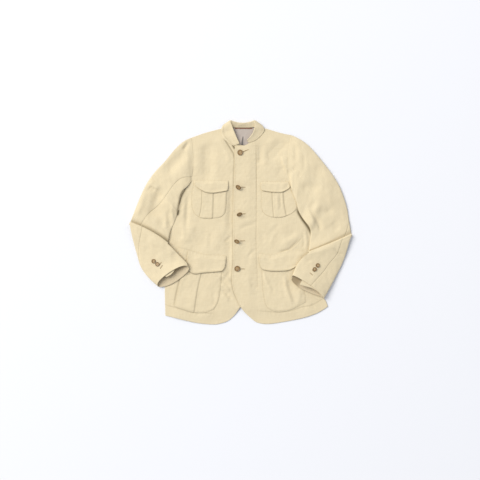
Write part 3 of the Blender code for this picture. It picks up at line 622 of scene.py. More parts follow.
def makeNeck():
    xy = outline(neck["lining"])(*gridOf(neck["liningGrid"]))
    x, y = xy[..., 0], xy[..., 1]
    off, share = nearLine(x, y, neck["pleat"])[:2]
    half = neck["pleatMouth"] * (neck["mouthStart"] + neck["mouthSpread"] * share)
    mouth = np.exp(-(off / half) ** 4) * smoothStep(share / neck["mouthFade"])
    height = neck["liningTop"] + creases(x, y, neck["pleatRidge"]) - neck["pleatDepth"] * mouth
    height += ripples(x, y, *neck["ripple"])
    # mouth, the pleat's painted shade, goes to the shader as its mark
    made = clothShell("backLining", "back_lining", np.dstack([xy, height]), neck["liningWall"], xy, mouth,
                      liningCloth)
    xy = outline(neck["tape"])(*gridOf(neck["tapeGrid"]))
    plain = np.zeros(xy.shape[:2])
    made = clothShell("neckTape", "neck_tape", np.dstack([xy, plain + neck["tapeTop"]]), neck["tapeWall"],
                      xy, plain, brownTape)


makeNeck()
print("neck: lining and tape")


# pockets and flaps, made from the points of the front they lie on

pockets = {
    "chestPocketRight": {
        "grid": (62, 60), "cut": (0.125, 0.124, 0.014),
        "edgeA": [(-150, 21), (-165, 36), (-172, 62), (-172, 100), (-165, 135)],
        "edgeB": [(-66, 21), (-55, 34), (-51, 55), (-49, 90), (-46, 135)],
        "low": [(-136, 16), (-110, 14), (-82, 16)], "top": [],
        "pleats": [([(-134, 140), (-137, 60), (-144, 22)], 1), ([(-95, 140), (-97, 60), (-99, 12)], -1)],
        "folds": [([(-134, 100), (-136, 60)], 4, 9, 0.5), ([(-76, 100), (-80, 40)], 10, 10, 0.6)],
    },
    "chestPocketLeft": {
        "grid": (60, 58), "cut": (0.129, 0.118, 0.0128),
        "edgeA": [(92, 24), (78, 36), (71, 55), (71, 95), (73, 133)],
        "edgeB": [(178, 32), (194, 46), (198, 64), (189, 95), (165, 133)],
        "low": [(112, 18), (140, 18), (162, 24)], "top": [],
        "pleats": [([(108, 138), (111, 70), (115, 16)], 1), ([(146, 138), (150, 70), (158, 24)], -1)],
        "folds": [([(126, 104), (130, 36)], 5, 5, 1.5), ([(137, 110), (141, 44)], 4, 4, -1.5),
                  ([(92, 110), (94, 50)], 9, 9, 0.5)],
    },
    "hipPocketRight": {
        "grid": (78, 92), "cut": (0.153, 0.184, 0.0252),
        "edgeA": [(-232, -293), (-224, -250), (-212, -200), (-197, -152), (-184, -122)],
        "edgeB": [(-94, -303), (-80, -278), (-73, -248), (-68, -200), (-64, -140)],
        "low": [(-208, -302), (-166, -314), (-124, -315)],
        "top": [(-121, -136)],
        "pleats": [([(-136, -168), (-151, -231), (-164, -318)], -1)],
        "folds": [([(-110, -190), (-122, -250), (-116, -296)], 16, 16, 1.1),
                  ([(-92, -232), (-96, -282), (-116, -304)], 9, 7, -1.1),
                  ([(-192, -196), (-204, -262)], 14, 14, -0.8)],
    },
    "hipPocketLeft": {
        "grid": (76, 92), "cut": (0.151, 0.183, 0.0242),
        "edgeA": [(94, -300), (84, -280), (77, -240), (73, -180), (72, -132)],
        "edgeB": [(228, -278), (224, -248), (217, -215), (208, -180), (198, -122)],
        "low": [(112, -309), (138, -313), (172, -306), (198, -294)],
        "top": [(130, -132)],
        "pleats": [],
        "folds": [([(72, -172), (90, -206), (112, -244)], 9, 6, 2.6),
                  ([(92, -196), (108, -228), (118, -262)], 8, 8, -1.4),
                  ([(150, -172), (161, -236), (184, -294)], 8, 7, 3.0),
                  ([(170, -190), (180, -250), (190, -292)], 8, 10, -1.8),
                  ([(206, -228), (202, -292)], 9, 9, 1.8),
                  ([(132, -180), (130, -250), (138, -300)], 9, 9, -0.9),
                  ([(150, -296), (142, -312)], 5, 5, 1.0), ([(118, -292), (112, -306)], 5, 5, 0.8),
                  ([(168, -292), (166, -308)], 4, 4, -0.9)],
    },
}
flaps = {
    "chestFlapRight": {
        "grid": (64, 28), "cut": (0.121, 0.045, 0.0045),
        "edgeA": [(-150, 121), (-160, 131), (-164, 147)], "edgeB": [(-52, 110), (-45, 117), (-44, 147)],
        "low": [(-138, 113), (-121, 105), (-94, 103)], "top": [],
        "folds": [([(-128, 146), (-122, 112)], 9, 9, 0.6), ([(-84, 146), (-88, 108)], 9, 9, -0.5)],
    },
    "chestFlapLeft": {
        "grid": (54, 26), "cut": (0.102, 0.039, 0.0035),
        "edgeA": [(76, 111), (71, 117), (71, 143)], "edgeB": [(167, 118.5), (171, 126), (167, 143)],
        "low": [(109, 106), (138, 105), (154, 110.5)], "top": [],
        "folds": [([(136, 146), (134, 108)], 6, 6, -0.7), ([(150, 146), (147, 110)], 6, 6, 0.7),
                  ([(100, 146), (104, 108)], 9, 9, 0.5)],
    },
    "hipFlapRight": {
        "grid": (68, 40), "cut": (0.138, 0.076, 0.0086),
        "edgeA": [(-186, -160), (-187, -140), (-184, -96)],
        "edgeB": [(-64, -167), (-55, -153), (-51, -116)],
        "low": [(-178, -173), (-160, -180), (-131, -176), (-74, -171)],
        "top": [(-160, -103), (-121, -112)],
        "folds": [([(-150, -108), (-146, -172)], 12, 12, 0.7),
                  ([(-92, -116), (-96, -168)], 14, 14, -0.6)],
    },
    "hipFlapLeft": {
        "grid": (70, 38), "cut": (0.178, 0.078, 0.0099),
        "edgeA": [(70, -158), (66, -148), (65, -108)], "edgeB": [(192, -153), (218, -138), (240, -96)],
        "low": [(82, -166), (120, -170), (165, -167)],
        "top": [(110, -113), (140, -104), (170, -96)],
        "folds": [([(96, -110), (92, -140)], 10, 10, -0.8), ([(112, -116), (118, -166)], 10, 10, 0.8),
                  ([(172, -108), (176, -160)], 12, 12, 0.6)],
    },
}
layers = {
    "edge": 0.6, "gap": 0.8, "wall": 0.5, "edgeRun": 0.05, "foldRun": 0.1, "pocketRipple": (17, 30.0, 0.2),
    "pleatRaise": 1.2, "pleatStep": 3.0, "pleatOff": 0.6, "pleatWidth": 1.7, "pleatShade": 0.4,
    "edgeMark": 0.17, "edgeWidth": 0.016, "litMark": 0.3, "litWidth": 0.014, "pocketGrain": 1.0,
    "flapGap": 1.0, "over": 3.1, "ramp": 0.28, "flapLift": 1.5, "lipRun": 0.3, "flapGrain": 3.0,
    "flapRipple": (23, 32.0, 0.25), "farStart": 0.82, "farRun": 0.15, "farFlat": 0.8,
    "pucker": 0.3, "puckerWave": (0.7, 1.5, 0.21), "puckerAt": 0.94, "puckerRun": 0.06,
    "topMark": 0.05, "topWidth": 0.03, "hemShade": 0.6, "hemWidth": 0.045,
    "endMark": 0.3, "endWidth": 0.01, "endTop": 0.5, "endRun": 0.25,
}


def pocketPlace(piece, side):
    # the front's height and one layer more; a box pleat is a step up between its two lines;
    # the edges are sewn down
    spread = outline(piece)

    def place(u, v):
        xy = spread(u, v)
        x, y = xy[..., 0], xy[..., 1]
        raised, mark = np.full(x.shape, 1.0 if piece["pleats"] else 0.0), np.zeros(x.shape)
        for path, way in piece["pleats"]:
            off = nearLine(x, y, path)[0] * way
            raised = raised * smoothStep(off / layers["pleatStep"])
            # the pleat line is painted shade in the pleat's fold
            line = bell((off + layers["pleatOff"]) / layers["pleatWidth"])
            mark = np.maximum(mark, layers["pleatShade"] * line)
        border = np.minimum(np.minimum(u, 1 - u), v)
        height = frontTop(x, y, side)[0] + layers["edge"] + layers["pleatRaise"] * raised
        height += layers["gap"] * smoothStep(border / layers["edgeRun"])
        uneven = creases(x, y, piece["folds"]) + ripples(x, y, *layers["pocketRipple"])
        height += uneven * smoothStep(border / layers["foldRun"])
        shown = np.minimum(u, v) if side == "left" else border
        mark = np.maximum(mark, layers["edgeMark"] * bell(shown / layers["edgeWidth"]))
        return np.dstack([xy, height]), np.maximum(mark, layers["litMark"] * bell(u / layers["litWidth"]))
    return place


def flapPlace(piece, side):
    # sewn down along its top, it climbs over the pocket and stands off a little at its lower edge
    spread = outline(piece)

    def place(u, v):
        xy = spread(u, v)
        x, y = xy[..., 0], xy[..., 1]
        free = smoothStep((1 - v) / layers["ramp"])
        if side == "left":  # its far end lies flat under the sleeve
            far = smoothStep((u - layers["farStart"]) / layers["farRun"])
            free = free * (1 - layers["farFlat"] * far * smoothStep(v / layers["lipRun"] - 1))
        height = frontTop(x, y, side)[0] + layers["flapGap"] + layers["over"] * free
        height += layers["flapLift"] * smoothStep(1 - v / layers["lipRun"])
        height += (creases(x, y, piece["folds"]) + ripples(x, y, *layers["flapRipple"])) * free
        pucker = wander(x, *layers["puckerWave"]) * bell((v - layers["puckerAt"]) / layers["puckerRun"])
        height += layers["pucker"] * pucker
        ends = bell((u if side == "left" else np.minimum(u, 1 - u)) / layers["endWidth"])
        # the mark along the lower edge is painted shade under the flap's lip
        mark = np.maximum(layers["topMark"] * bell((1 - v) / layers["topWidth"]),
                          layers["hemShade"] * bell(v / layers["hemWidth"]))
        ends = ends * smoothStep((layers["endTop"] - v) / layers["endRun"])
        mark = np.maximum(mark, layers["endMark"] * ends)
        return np.dstack([xy, height]), mark
    return place


places = {}
for name, piece in {**pockets, **flaps}.items():
    side = "left" if name.endswith("Left") else "right"
    make, grain = (pocketPlace, "pocketGrain") if name in pockets else (flapPlace, "flapGrain")
    places[name] = make(piece, side)
    grid, mark = places[name](*gridOf(piece["grid"]))
    made = clothShell(name, nodeOf(name), grid, layers["wall"], turned(grid[..., :2], layers[grain]), mark,
                      linen)
    "front" + side.title() + "Cloth"
print("pockets:", len(pockets), "with", len(flaps), "flaps")


# sleeves: flattened tubes with a tuck at the elbow

# section rows: outer x, y, inner x, y, lift of the lower cloth at both edges, half height, bow of the upper
# and the lower cloth along the sleeve, and how far in from the outer edge the seam lies
sectionColumns = ("outerX", "outerY", "innerX", "innerY", "outerLift", "innerLift", "half",
                  "bowTop", "bowLow", "seam")
sleeves = {
    "right": {
        "flip": True, "hemTo": 1.3, "toBody": 1.0, "dive": 7.0, "foldShade": 0.68, "seatGap": 0.5,
        "hug": (13.0, 9.0, 7.0),  # ring, run and reach of its lean over the body
        "loose": [(122, 24, 0.6), (34, 8, 0.5)],  # y, run and share where the inner edge stands off
        "mouth": {"top": (0.35, 0.4, 0.0), "low": (0.8, 0.35, 0.0)},  # bluntness at both ends, and lean
        "upper": [
            (-175, 296, -175, 145, -0.6, 4.0, 4.0, -6.0, -6.0, 0.91),
            (-203, 281, -188, 131, -0.6, 6.5, 5.5, -4.0, -4.0, 0.82),
            (-234, 251, -203, 111, -0.6, 7.5, 6.5, -2.0, -2.0, 0.71),
            (-264, 214, -212, 88, -0.6, 7.5, 7.0, 0.0, 0.0, 0.64),
            (-298, 178, -218, 56, -0.6, 7.5, 7.0, 0.0, 0.0, 0.59),
            (-323, 144, -224, 22, -0.6, 7.5, 7.0, 0.0, 0.0, 0.53),
            (-344, 105, -235, -6, -0.6, 7.5, 6.5, -3.0, -3.0, 0.46),
            (-366, 53, -246, -35, -0.6, 7.5, 4.5, -6.0, -6.0, 0.33),
            (-387, -1, -253, -74, 0.4, 7.5, 2.2, -6.0, -6.0, 0.24),
        ],
        "forearm": [
            (-387, -2, -253, -74, 11.6, 18.7, 2.2, -6.0, -6.0, 0.31),
            (-381, -36, -240, -86, 9.5, 19.5, 3.0, -6.0, -6.0, 0.23),
            (-372, -76, -226, -101, 3.0, 16.5, 4.5, -3.0, -3.0, 0.12),
            (-361, -116, -211, -117, 0.2, 13.5, 5.5, 0.0, 0.0, 0.03),
            (-348, -156, -197, -131, -0.4, 12.5, 6.5, -3.0, 2.0, 0.0),
            (-322, -192, -187, -141, -0.2, 12.5, 8.5, -11.0, 9.0, 0.0),
            (-287, -224, -182, -155, 1.2, 12.5, 11.0, -21.0, 18.0, 0.0),
        ],
        "upperFolds": [
            ([(-180, 286), (-190, 268), (-203, 250)], 8, 6, -6.5),
            ([(-177, 270), (-189, 240), (-206, 212), (-222, 184)], 18, 12, 1.0),
            ([(-184, 268), (-208, 230), (-242, 192), (-278, 164)], 20, 24, -8.0),
            ([(-326, 146), (-304, 128), (-280, 112)], 9, 7, 4.5),
            ([(-320, 126), (-298, 110)], 7, 9, -3.4),
            ([(-274, 124), (-296, 68), (-322, 8)], 26, 18, -8.0),
            ([(-336, 112), (-346, 62), (-366, 14)], 9, 10, 3.1),
            ([(-256, 44), (-250, 14), (-242, -20)], 8, 8, -3.6), ([(-242, 58), (-234, 6)], 5, 6, 2.5),
            ([(-264, 10), (-262, -24)], 6, 6, 1.7), ([(-290, 60), (-276, 6), (-280, -30)], 16, 16, -2.5),
            ([(-236, 130), (-262, 84), (-270, 40)], 16, 14, 2.2),
            ([(-200, 124), (-213, 94), (-220, 60), (-228, 26)], 5, 36, 6.0),
        ],
        "forearmFolds": [
            ([(-330, -50), (-290, -66), (-250, -90)], 16, 16, 1.5),
            ([(-236, -100), (-218, -142)], 12, 14, -2.2),
            ([(-340, -100), (-310, -90)], 9, 9, -1.1), ([(-300, -176), (-262, -180)], 10, 10, -1.3),
            ([(-290, -110), (-262, -132)], 14, 14, 1.3),
        ],
        "cuts": {"Outer": (0.224, 0.655, 0.075), "Inner": (0.227, 0.534, 0.066),
                 "Facing": (0.139, 0.069, 0.0066)},
    },
    "left": {
        "flip": False, "hemTo": 0.82, "toBody": -1.0, "dive": 4.0, "foldShade": 0.3, "seatGap": 2.2,
        "hug": (8.0, 8.0, 6.0),
        "loose": [(-12, 20, 0.8), (78, 24, 0.25)],
        "mouth": {"top": (0.8, 0.55, 0.0), "low": (1.0, 0.4, 0.7)},
        "upper": [
            (179, 305, 179.5, 124, -0.6, 8.0, 4.0, -11.5, -11.5, 0.0),
            (205, 292, 187, 100, -0.6, 10.0, 5.5, -7.0, -7.0, 0.0),
            (234, 271, 194, 70, -0.6, 10.5, 6.5, -3.0, -3.0, 0.0),
            (262, 241, 203, 38, -0.6, 10.5, 7.0, 0.0, 0.0, 0.0),
            (293, 203, 220, 10, -0.6, 10.0, 7.0, 0.0, 0.0, 0.0),
            (325, 160, 240, -18, -0.6, 9.5, 7.0, 0.0, 0.0, 0.0),
            (350, 114, 244, -40, -0.6, 9.5, 6.5, 0.0, 0.0, 0.0),
            (370, 55, 241, -65, -0.6, 9.5, 5.5, 2.0, 2.0, 0.0),
            (379, 5, 238, -88, -0.6, 9.5, 3.5, 4.0, 4.0, 0.02),
            (387, -42, 236, -104, 0.4, 9.5, 2.2, 3.0, 3.0, 0.18),
        ],
        "forearm": [
            (387, -42, 236, -104, 11.6, 20.7, 2.2, 3.0, 3.0, 0.22),
            (379, -64, 226, -112, 10.0, 21.5, 3.0, 3.0, 3.0, 0.21),
            (368, -105, 217, -120, 4.0, 18.0, 4.5, 0.0, 0.0, 0.21),
            (353, -146, 206, -132, 1.0, 14.5, 5.5, 0.0, 1.0, 0.30),
            (334, -184, 196, -146, 1.0, 13.5, 6.5, -2.0, 6.0, 0.33),
            (312, -225, 187, -163, 3.0, 13.5, 8.0, -5.0, 12.0, 0.40),
            (290, -263, 179, -184, 6.0, 13.5, 10.0, -9.0, 17.0, 0.47),
        ],
        "upperFolds": [
            ([(188, 274), (191, 240), (186, 206)], 10, 8, -3.6), ([(170, 172), (194, 190)], 6, 5, -3.1),
            ([(200, 172), (212, 164)], 6, 6, -2.5), ([(206, 124), (242, 123), (280, 116)], 11, 9, -3.6),
            ([(266, 78), (236, 44)], 12, 9, -3.6), ([(258, 40), (296, 36), (326, 44)], 13, 12, -3.4),
            ([(234, 50), (256, 20), (273, -12), (276, -44)], 10, 4, -4.5),
            ([(226, 48), (246, 16), (260, -24)], 7, 8, 2.8),
            ([(222, 214), (226, 160), (238, 130)], 15, 15, 2.5),
            ([(300, 124), (314, 84), (310, 50)], 15, 15, 2.5), ([(316, 0), (340, -30)], 14, 14, -2.2),
            ([(216, 246), (222, 200), (214, 168)], 8, 9, -2.1), ([(262, 200), (286, 160)], 18, 18, -2.0),
        ],
        "forearmFolds": [
            ([(222, -106), (232, -122), (242, -142)], 12, 10, -2.2),
            ([(300, -90), (260, -112)], 16, 16, 1.7),
            ([(320, -84), (331, -98), (340, -107), (357, -116)], 5, 4, -2.6),
            ([(250, -190), (222, -176)], 9, 9, -1.4),
        ],
        "cuts": {"Outer": (0.149, 0.673, 0.063), "Inner": (0.312, 0.668, 0.101),
                 "Facing": (0.132, 0.063, 0.0070)},
    },
}
tube = {
    "lowSeam": 0.55, "liftPower": 0.8, "power": 2.8, "innerPower": 2.4, "seamGap": 0.15, "seamDip": 0.5,
    "upperRings": 96, "turnRings": 8, "forearmRings": 78, "mouthRings": 16, "across": 66, "wall": 0.9,
    "tuckDepth": 14.0, "tuckOuter": 3.0, "tuckTurn": 2.8, "diveRings": 5.0, "diveRun": 16.0,
    "lapRings": 11.0, "lapOver": 3.0, "lapGap": 0.06, "lapWall": 0.3, "lapThin": 5.0, "lapEdge": 3.0,
    "tableGap": 0.3, "bodyEdge": 268.0, "shoreRun": 8.0, "seatStart": 3.0, "seatRun": 9.0,
    "elbowFade": 4.0, "reliefEdge": 3.4, "ripples": [(31, 52.0, 0.6), (37, 20.0, 0.25)],
    "seamLine": 25.0, "seamMark": 0.12,
    "foldBack": 1.5, "foldLine": 1.0, "foldWiden": 2.0, "foldOuter": 0.6,
    "facing": (3.55, 5.9), "facingDepth": 0.24, "facingInset": 1.9, "facingWall": 0.7,
    "facingGrid": (56, 24), "hemStart": 0.25, "hemRun": 0.5, "hemFade": 0.2,
}


def spaced(rows, count):  # the table read as a smooth run of count + 1 sections
    line = smoothLine(rows, 12)
    return readAt(np.linspace(0, 1, count + 1), np.linspace(0, 1, len(line)), line)


def sectionsOf(rows):  # columns, both ends of each section and the way up
    c = dict(zip(sectionColumns, rows.T))
    outer = np.column_stack([c["outerX"], c["outerY"], c["outerLift"] + c["half"]])
    inner = np.column_stack([c["innerX"], c["innerY"], c["innerLift"] + c["half"]])
    return c, outer, inner, np.tile([0.0, 0.0, 1.0], (len(outer), 1))


def shareOf(theta):  # share of the way across, 0 at the outer edge and 1 at the inner one
    return (1 - np.cos(theta)) / 2


def aheadOf(outer, inner):  # level direction square to the line from outer to inner
    return unit(np.cross(inner - outer, [0.0, 0.0, 1.0]))


def ringsOf(sleeve):
    # every section: down the upper arm, through two half turns at the elbow, down the forearm
    c, outer, inner, up = sectionsOf(spaced(sleeve["upper"], tube["upperRings"]))
    low, lowOuter, lowInner, lowUp = sectionsOf(spaced(sleeve["forearm"], tube["forearmRings"]))
    forward = aheadOf(outer[-1], inner[-1])
    forward = forward * np.sign(forward @ (lowOuter[-1] - outer[-1]))
    rise, turn = up[-1], np.linspace(0.0, math.pi, tube["turnRings"] + 1)[:, None]
    first = tube["tuckTurn"] * (np.sin(turn) * forward + (1 - np.cos(turn)) * rise)
    second = tube["tuckTurn"] * ((3 - np.cos(turn)) * rise - np.sin(turn) * forward)
    firstUp = np.cos(turn) * rise - np.sin(turn) * forward
    secondUp = -np.cos(turn) * rise - np.sin(turn) * forward
    farOuter = outer[-1] + tube["tuckOuter"] * forward
    farInner = inner[-1] + tube["tuckDepth"] * forward
    hidden = 2 * tube["turnRings"] + 1
    rings = {
        "outer": np.vstack([outer, farOuter + first, outer[-1] + second[:-1], lowOuter]),
        "inner": np.vstack([inner, farInner + first, inner[-1] + second[:-1], lowInner]),
        "up": np.vstack([up, firstUp, secondUp[:-1], lowUp]),
        "forward": forward, "upperEnd": len(outer) - 1, "lowStart": len(outer) + hidden,
    }
    for name in ("half", "bowTop", "bowLow", "seam"):
        between = np.linspace(c[name][-1], low[name][0], hidden)
        rings[name] = np.concatenate([c[name], between, low[name]])
    number = np.arange(len(rings["half"]))
    rings["atMouth"] = smoothStep((number - number[-1]) / tube["mouthRings"] + 1)
    rings["seam"], rings["mouth"] = np.maximum(rings["seam"], 0.0), sleeve["mouth"]
    return rings


def tubePoints(rings, ring, theta, inset=0.0, ownBow=None):
    # a point of a flattened tube: theta is 0 at the outer edge and pi at the inner one, over the top;
    # across it goes as (1 - cos theta) / 2 and its height follows a rounded box, |cos|^p + |h|^p = 1;
    # the bow along the sleeve is a parabola across it, raised to a blunter power at the cuff's mouth
    index = np.arange(len(rings["half"]))
    outer, inner, up = (readAt(ring, index, rings[name]) for name in ("outer", "inner", "up"))
    half, mouth, bowTop, bowLow = (np.interp(ring, index, rings[name])
                                   for name in ("half", "atMouth", "bowTop", "bowLow"))
    c = shareOf(theta)
    base = outer + (inner - outer) * c[..., None]
    base[..., 2] = outer[..., 2] + (inner[..., 2] - outer[..., 2]) * c ** tube["liftPower"]
    power = np.where(np.cos(theta) < 0, tube["innerPower"], tube["power"])
    roundOff = np.maximum(1 - np.abs(np.cos(theta)) ** power, 0.0) ** (1 / power)
    top = np.sin(theta) > 0
    ends = zip(rings["mouth"]["top"], rings["mouth"]["low"])
    first, last, lean = (np.where(top, upper, lower) for upper, lower in ends)
    bow = np.where(top, bowTop, bowLow)
    bow = bow * np.maximum(4 * c * (1 - c), 0.0) ** (1 + (first + (last - first) * c - 1) * mouth)
    bow = bow * (1 + lean * (2 * c - 1) * mouth)
    if ownBow:
        bow = np.interp(c, *np.array(ownBow).T) * mouth
    along = aheadOf(outer, inner)
    along = along * np.sign(along @ rings["forward"])[..., None]
    height = (half - inset) * roundOff * np.where(top, 1, -1)
    return base + bow[..., None] * along + unit(up) * height[..., None]


def sleeveRelief(sleeve, rings, points, ring, theta):
    # folds and unevenness on the upper cloth alone, the upper arm's and the forearm's apart
    x, y = points[..., 0], points[..., 1]
    left = rings["upperEnd"] - ring
    upper = smoothStep(left / tube["elbowFade"])
    lower = smoothStep((ring - rings["lowStart"]) / tube["elbowFade"])
    dive = sleeve["dive"] * smoothStep(left / tube["diveRings"])
    dive = dive * smoothStep(1 - (left - tube["diveRings"]) / tube["diveRun"])
    relief = (creases(x, y, sleeve["upperFolds"]) + dive) * upper
    relief += creases(x, y, sleeve["forearmFolds"]) * lower
    for row in tube["ripples"]:
        relief += ripples(x, y, *row) * (upper + lower)
    return relief * smoothStep(np.sin(theta) * tube["reliefEdge"])


def settleOn(sleeve, rings, points, ring, theta, side):
    # the upper arm sinks, in step with the share across, until its inner edge lies on the front;
    # its lower cloth stays above the front, or above the table where there is no front
    along = ring[:, 0]
    edge = tubePoints(rings, along, np.full(len(along), math.pi))
    seat = frontTop(edge[:, 0], edge[:, 1], side)[0] + sleeve["seatGap"]
    tight = smoothStep((along - tube["seatStart"]) / tube["seatRun"])
    tight = tight * smoothStep((rings["upperEnd"] - along) / tube["elbowFade"])
    for place, run, share in sleeve["loose"]:
        tight = tight * (1 - share * bell((edge[:, 1] - place) / run))
    c = shareOf(theta)
    points[..., 2] -= (np.maximum(edge[:, 2] - seat, 0) * tight)[:, None] * c
    middle, run, over = sleeve["hug"]
    points[..., 0] += sleeve["toBody"] * over * bell((ring - middle) / run) * c ** 3
    x, y = points[..., 0], points[..., 1]
    shore = np.array(sorted(body[side + "Underarm"]))
    onBody = smoothStep((tube["bodyEdge"] - np.abs(x)) / tube["shoreRun"])
    onBody = onBody * smoothStep((np.interp(x, *shore.T) - y) / tube["shoreRun"])
    ground = tube["tableGap"] + (frontTop(x, y, side)[0] + sleeve["seatGap"] - tube["tableGap"]) * onBody
    lower = (np.sin(theta) < 0) & (ring <= rings["upperEnd"])
    points[..., 2] = np.where(lower, np.maximum(points[..., 2], ground), points[..., 2])


def lapArmhole(sleeve, points, ring, theta, side):
    # the sleeve's first rings slide over the armhole edge and come down on the front, as a lapped seam
    lap = smoothStep(1 - ring / tube["lapRings"]) * smoothStep(np.sin(theta) * tube["lapEdge"])
    points[..., 0] += sleeve["toBody"] * tube["lapOver"] * lap
    thick = tube["wall"] + (tube["lapWall"] - tube["wall"]) * smoothStep(1 - ring / tube["lapThin"])
    seat = frontTop(points[..., 0], points[..., 1], side)[0] + thick + tube["lapGap"]
    points[..., 2] += (seat - points[..., 2]) * lap
    return thick


def makeSleeve(side):
    # two panels that part at the seam and again below: each is the tube over its own span of theta
    sleeve = sleeves[side]
    rings = ringsOf(sleeve)
    count = len(rings["half"]) - 1
    index = np.arange(count + 1)
    seam, lowSeam = np.arccos(1 - 2 * rings["seam"]), math.acos(1 - 2 * tube["lowSeam"])
    width = np.linalg.norm(rings["inner"] - rings["outer"], axis=1)
    slack = 0.5 * tube["seamGap"] / (0.5 * width * np.sin(seam) + 0.5 * rings["half"])
    spans = {"Outer": (slack - lowSeam, seam - slack),
             "Inner": (seam + slack, 2 * math.pi - lowSeam - slack)}
    grids = {}
    for part, (start, end) in spans.items():
        u, v = gridOf((tube["across"], count))
        ring = v * count
        first, last = np.interp(ring, index, start), np.interp(ring, index, end)
        theta = first + (last - first) * u
        points = tubePoints(rings, ring, theta)
        settleOn(sleeve, rings, points, ring, theta, side)
        points[..., 2] += sleeveRelief(sleeve, rings, points, ring, theta)
        thick = lapArmhole(sleeve, points, ring, theta, side)
        edge = bell(((1 - u) if part == "Outer" else u) * (last - first) * tube["seamLine"])
        points[..., 2] -= tube["seamDip"] * edge * (np.sin(theta) > 0)
        c = shareOf(theta)
        # the fold mark is painted shade on the upper arm just above the tuck at the elbow
        wide = tube["foldLine"] + tube["foldWiden"] * c ** 2
        fold = bell((rings["upperEnd"] - tube["foldBack"] - ring) / wide) * (ring <= rings["upperEnd"])
        fold = fold * (np.sin(theta) > 0) * (tube["foldOuter"] + (1 - tube["foldOuter"]) * c)
        mark = np.maximum(tube["seamMark"] * edge, sleeve["foldShade"] * fold)
        name = "sleeve" + side.title() + part
        made = clothShell(name, nodeOf(name), points, thick, arcMap(points), mark, linen,
                          sleeve["flip"])
        "front" + side.title() + "Cloth"
        grids[part] = points
    return grids, rings


def makeFacing(side, rings):
    # the cuff's inside: the tube's lower cloth once more, further in
    u, v = gridOf(tube["facingGrid"])
    ring = len(rings["half"]) - 1 - tube["forearmRings"] * tube["facingDepth"] * (1 - v)
    theta = tube["facing"][0] + (tube["facing"][1] - tube["facing"][0]) * u
    points = tubePoints(rings, ring, theta, tube["facingInset"])
    hem = smoothStep((v - tube["hemStart"]) / tube["hemRun"])
    hem = hem * smoothStep((sleeves[side]["hemTo"] - shareOf(theta)) / tube["hemFade"])
    name = "cuffFacing" + side.title()
    made = clothShell(name, nodeOf(name), points, tube["facingWall"], arcMap(points), hem, cuffLining,
                      sleeves[side]["flip"])
    "sleeve" + side.title() + "Inner"


def makeUnderlap(side, rings, strip):
    # the strip of the vent that runs on under the sleeve's inner panel: the tube's upper cloth, further in
    u, v = gridOf(strip["grid"])
    ring = len(rings["half"]) - 1 - strip["depth"] * (1 - v)
    theta = strip["span"][0] + (strip["span"][1] - strip["span"][0]) * u
    points = tubePoints(rings, ring, theta, strip["inset"], strip["bow"])
    mark = strip["edgeMark"] * bell((1 - v) / strip["edgeLine"])
    made = clothShell("ventUnderlap" + side.title(), None, points, strip["wall"], arcMap(points), mark,
                      linen, sleeves[side]["flip"])
    "sleeve" + side.title() + "Inner"


underlap = {"grid": (48, 26), "wall": 0.5, "edgeMark": 0.2, "edgeLine": 0.03}
underlaps = {
    "right": {**underlap, "depth": 11.0, "span": (1.25, 1.85), "inset": 3.2, "cut": (0.038, 0.023, 0.0008),
              "bow": [(0.28, -17.0), (0.37, -12.5), (0.5, -11.5), (0.6, -15.0), (0.66, -19.0)]},
    "left": {**underlap, "depth": 15.0, "span": (0.5, 2.02), "inset": 1.7, "cut": (0.098, 0.053, 0.0042),
             "bow": [(0.0, 0.0), (0.1, -1.0), (0.2, -5.5), (0.3, -5.5), (0.42, -3.5), (0.55, 3.0),
                     (0.7, 10.0)]},
}
sleeveGrids, sleeveRings = {}, {}
for side in sleeves:
    sleeveGrids[side], sleeveRings[side] = makeSleeve(side)
    makeFacing(side, sleeveRings[side])
    makeUnderlap(side, sleeveRings[side], underlaps[side])
print("sleeves: two, with their cuff facings and vents")


# collar: stand and fall in one

# section rows: neck seam, fold and outer edge, from the right end round the back neck to the left end
collar = {
    "rows": [
        (-14, 273, 8.6, -6, 275, 13, -25, 269, 7.6), (-26, 285, 7.8, -13, 290, 15, -44, 280, 7.4),
        (-38, 303, 7.2, -23, 312, 16, -62, 297, 7.4), (-46, 321, 7.0, -31, 334, 16.5, -68, 321, 7.2),
        (-40, 333, 5.5, -36, 353, 15, -56, 343, 5.0), (-20, 332.5, 3.0, -20, 349.5, 11, -22, 344, 3.4),
        (4, 332.5, 2.8, 4, 345.5, 10.5, 4, 341.5, 3.0), (28, 332.5, 3.0, 31, 349, 11, 33, 344, 3.4),
        (52, 333, 5.5, 49, 353, 12.5, 69, 342, 5.0), (60, 322, 6.8, 50, 331, 11.6, 81.5, 322, 7.2),
        (54, 306, 7.6, 42, 309, 11.4, 65.5, 299.5, 8.0), (43, 293, 8.2, 32, 296, 11.6, 48, 286.5, 9.0),
        (32, 284, 9.0, 22, 286, 12.0, 28.5, 279, 9.4),
    ],
    "lift": 1.8, "wall": 1.5, "grid": (170, 34), "cut": (0.326, 0.073, 0.0114),
    "length": 370.0, "depth": 65.0, "ripples": [(41, 34.0, 0.3), (43, 14.0, 0.1)],
    "rippleFade": (4.0, 6.0), "seatGap": 0.3, "middle": 4.0, "leafStart": 0.22, "leafRun": 0.08,
    "seamIn": 4.0, "seamDip": 0.35, "seamWidth": 1.6, "seamMark": 0.1, "markWidth": 1.5,
}


def collarGrid(u, v):
    # a cubic curve from the seam over the fold to the edge: its knee is set so that it meets the fold
    line = smoothLine(collar["rows"])
    read = readAt(u, np.linspace(0.0, 1.0, len(line)), line)
    seam, fold, rim = read[..., 0:3], read[..., 3:6], read[..., 6:9]
    knee = fold + (2 * fold - seam - rim) / 6
    w = v[..., None]
    return (1 - w) ** 3 * seam + 3 * w * (1 - w) * knee + w ** 3 * rim


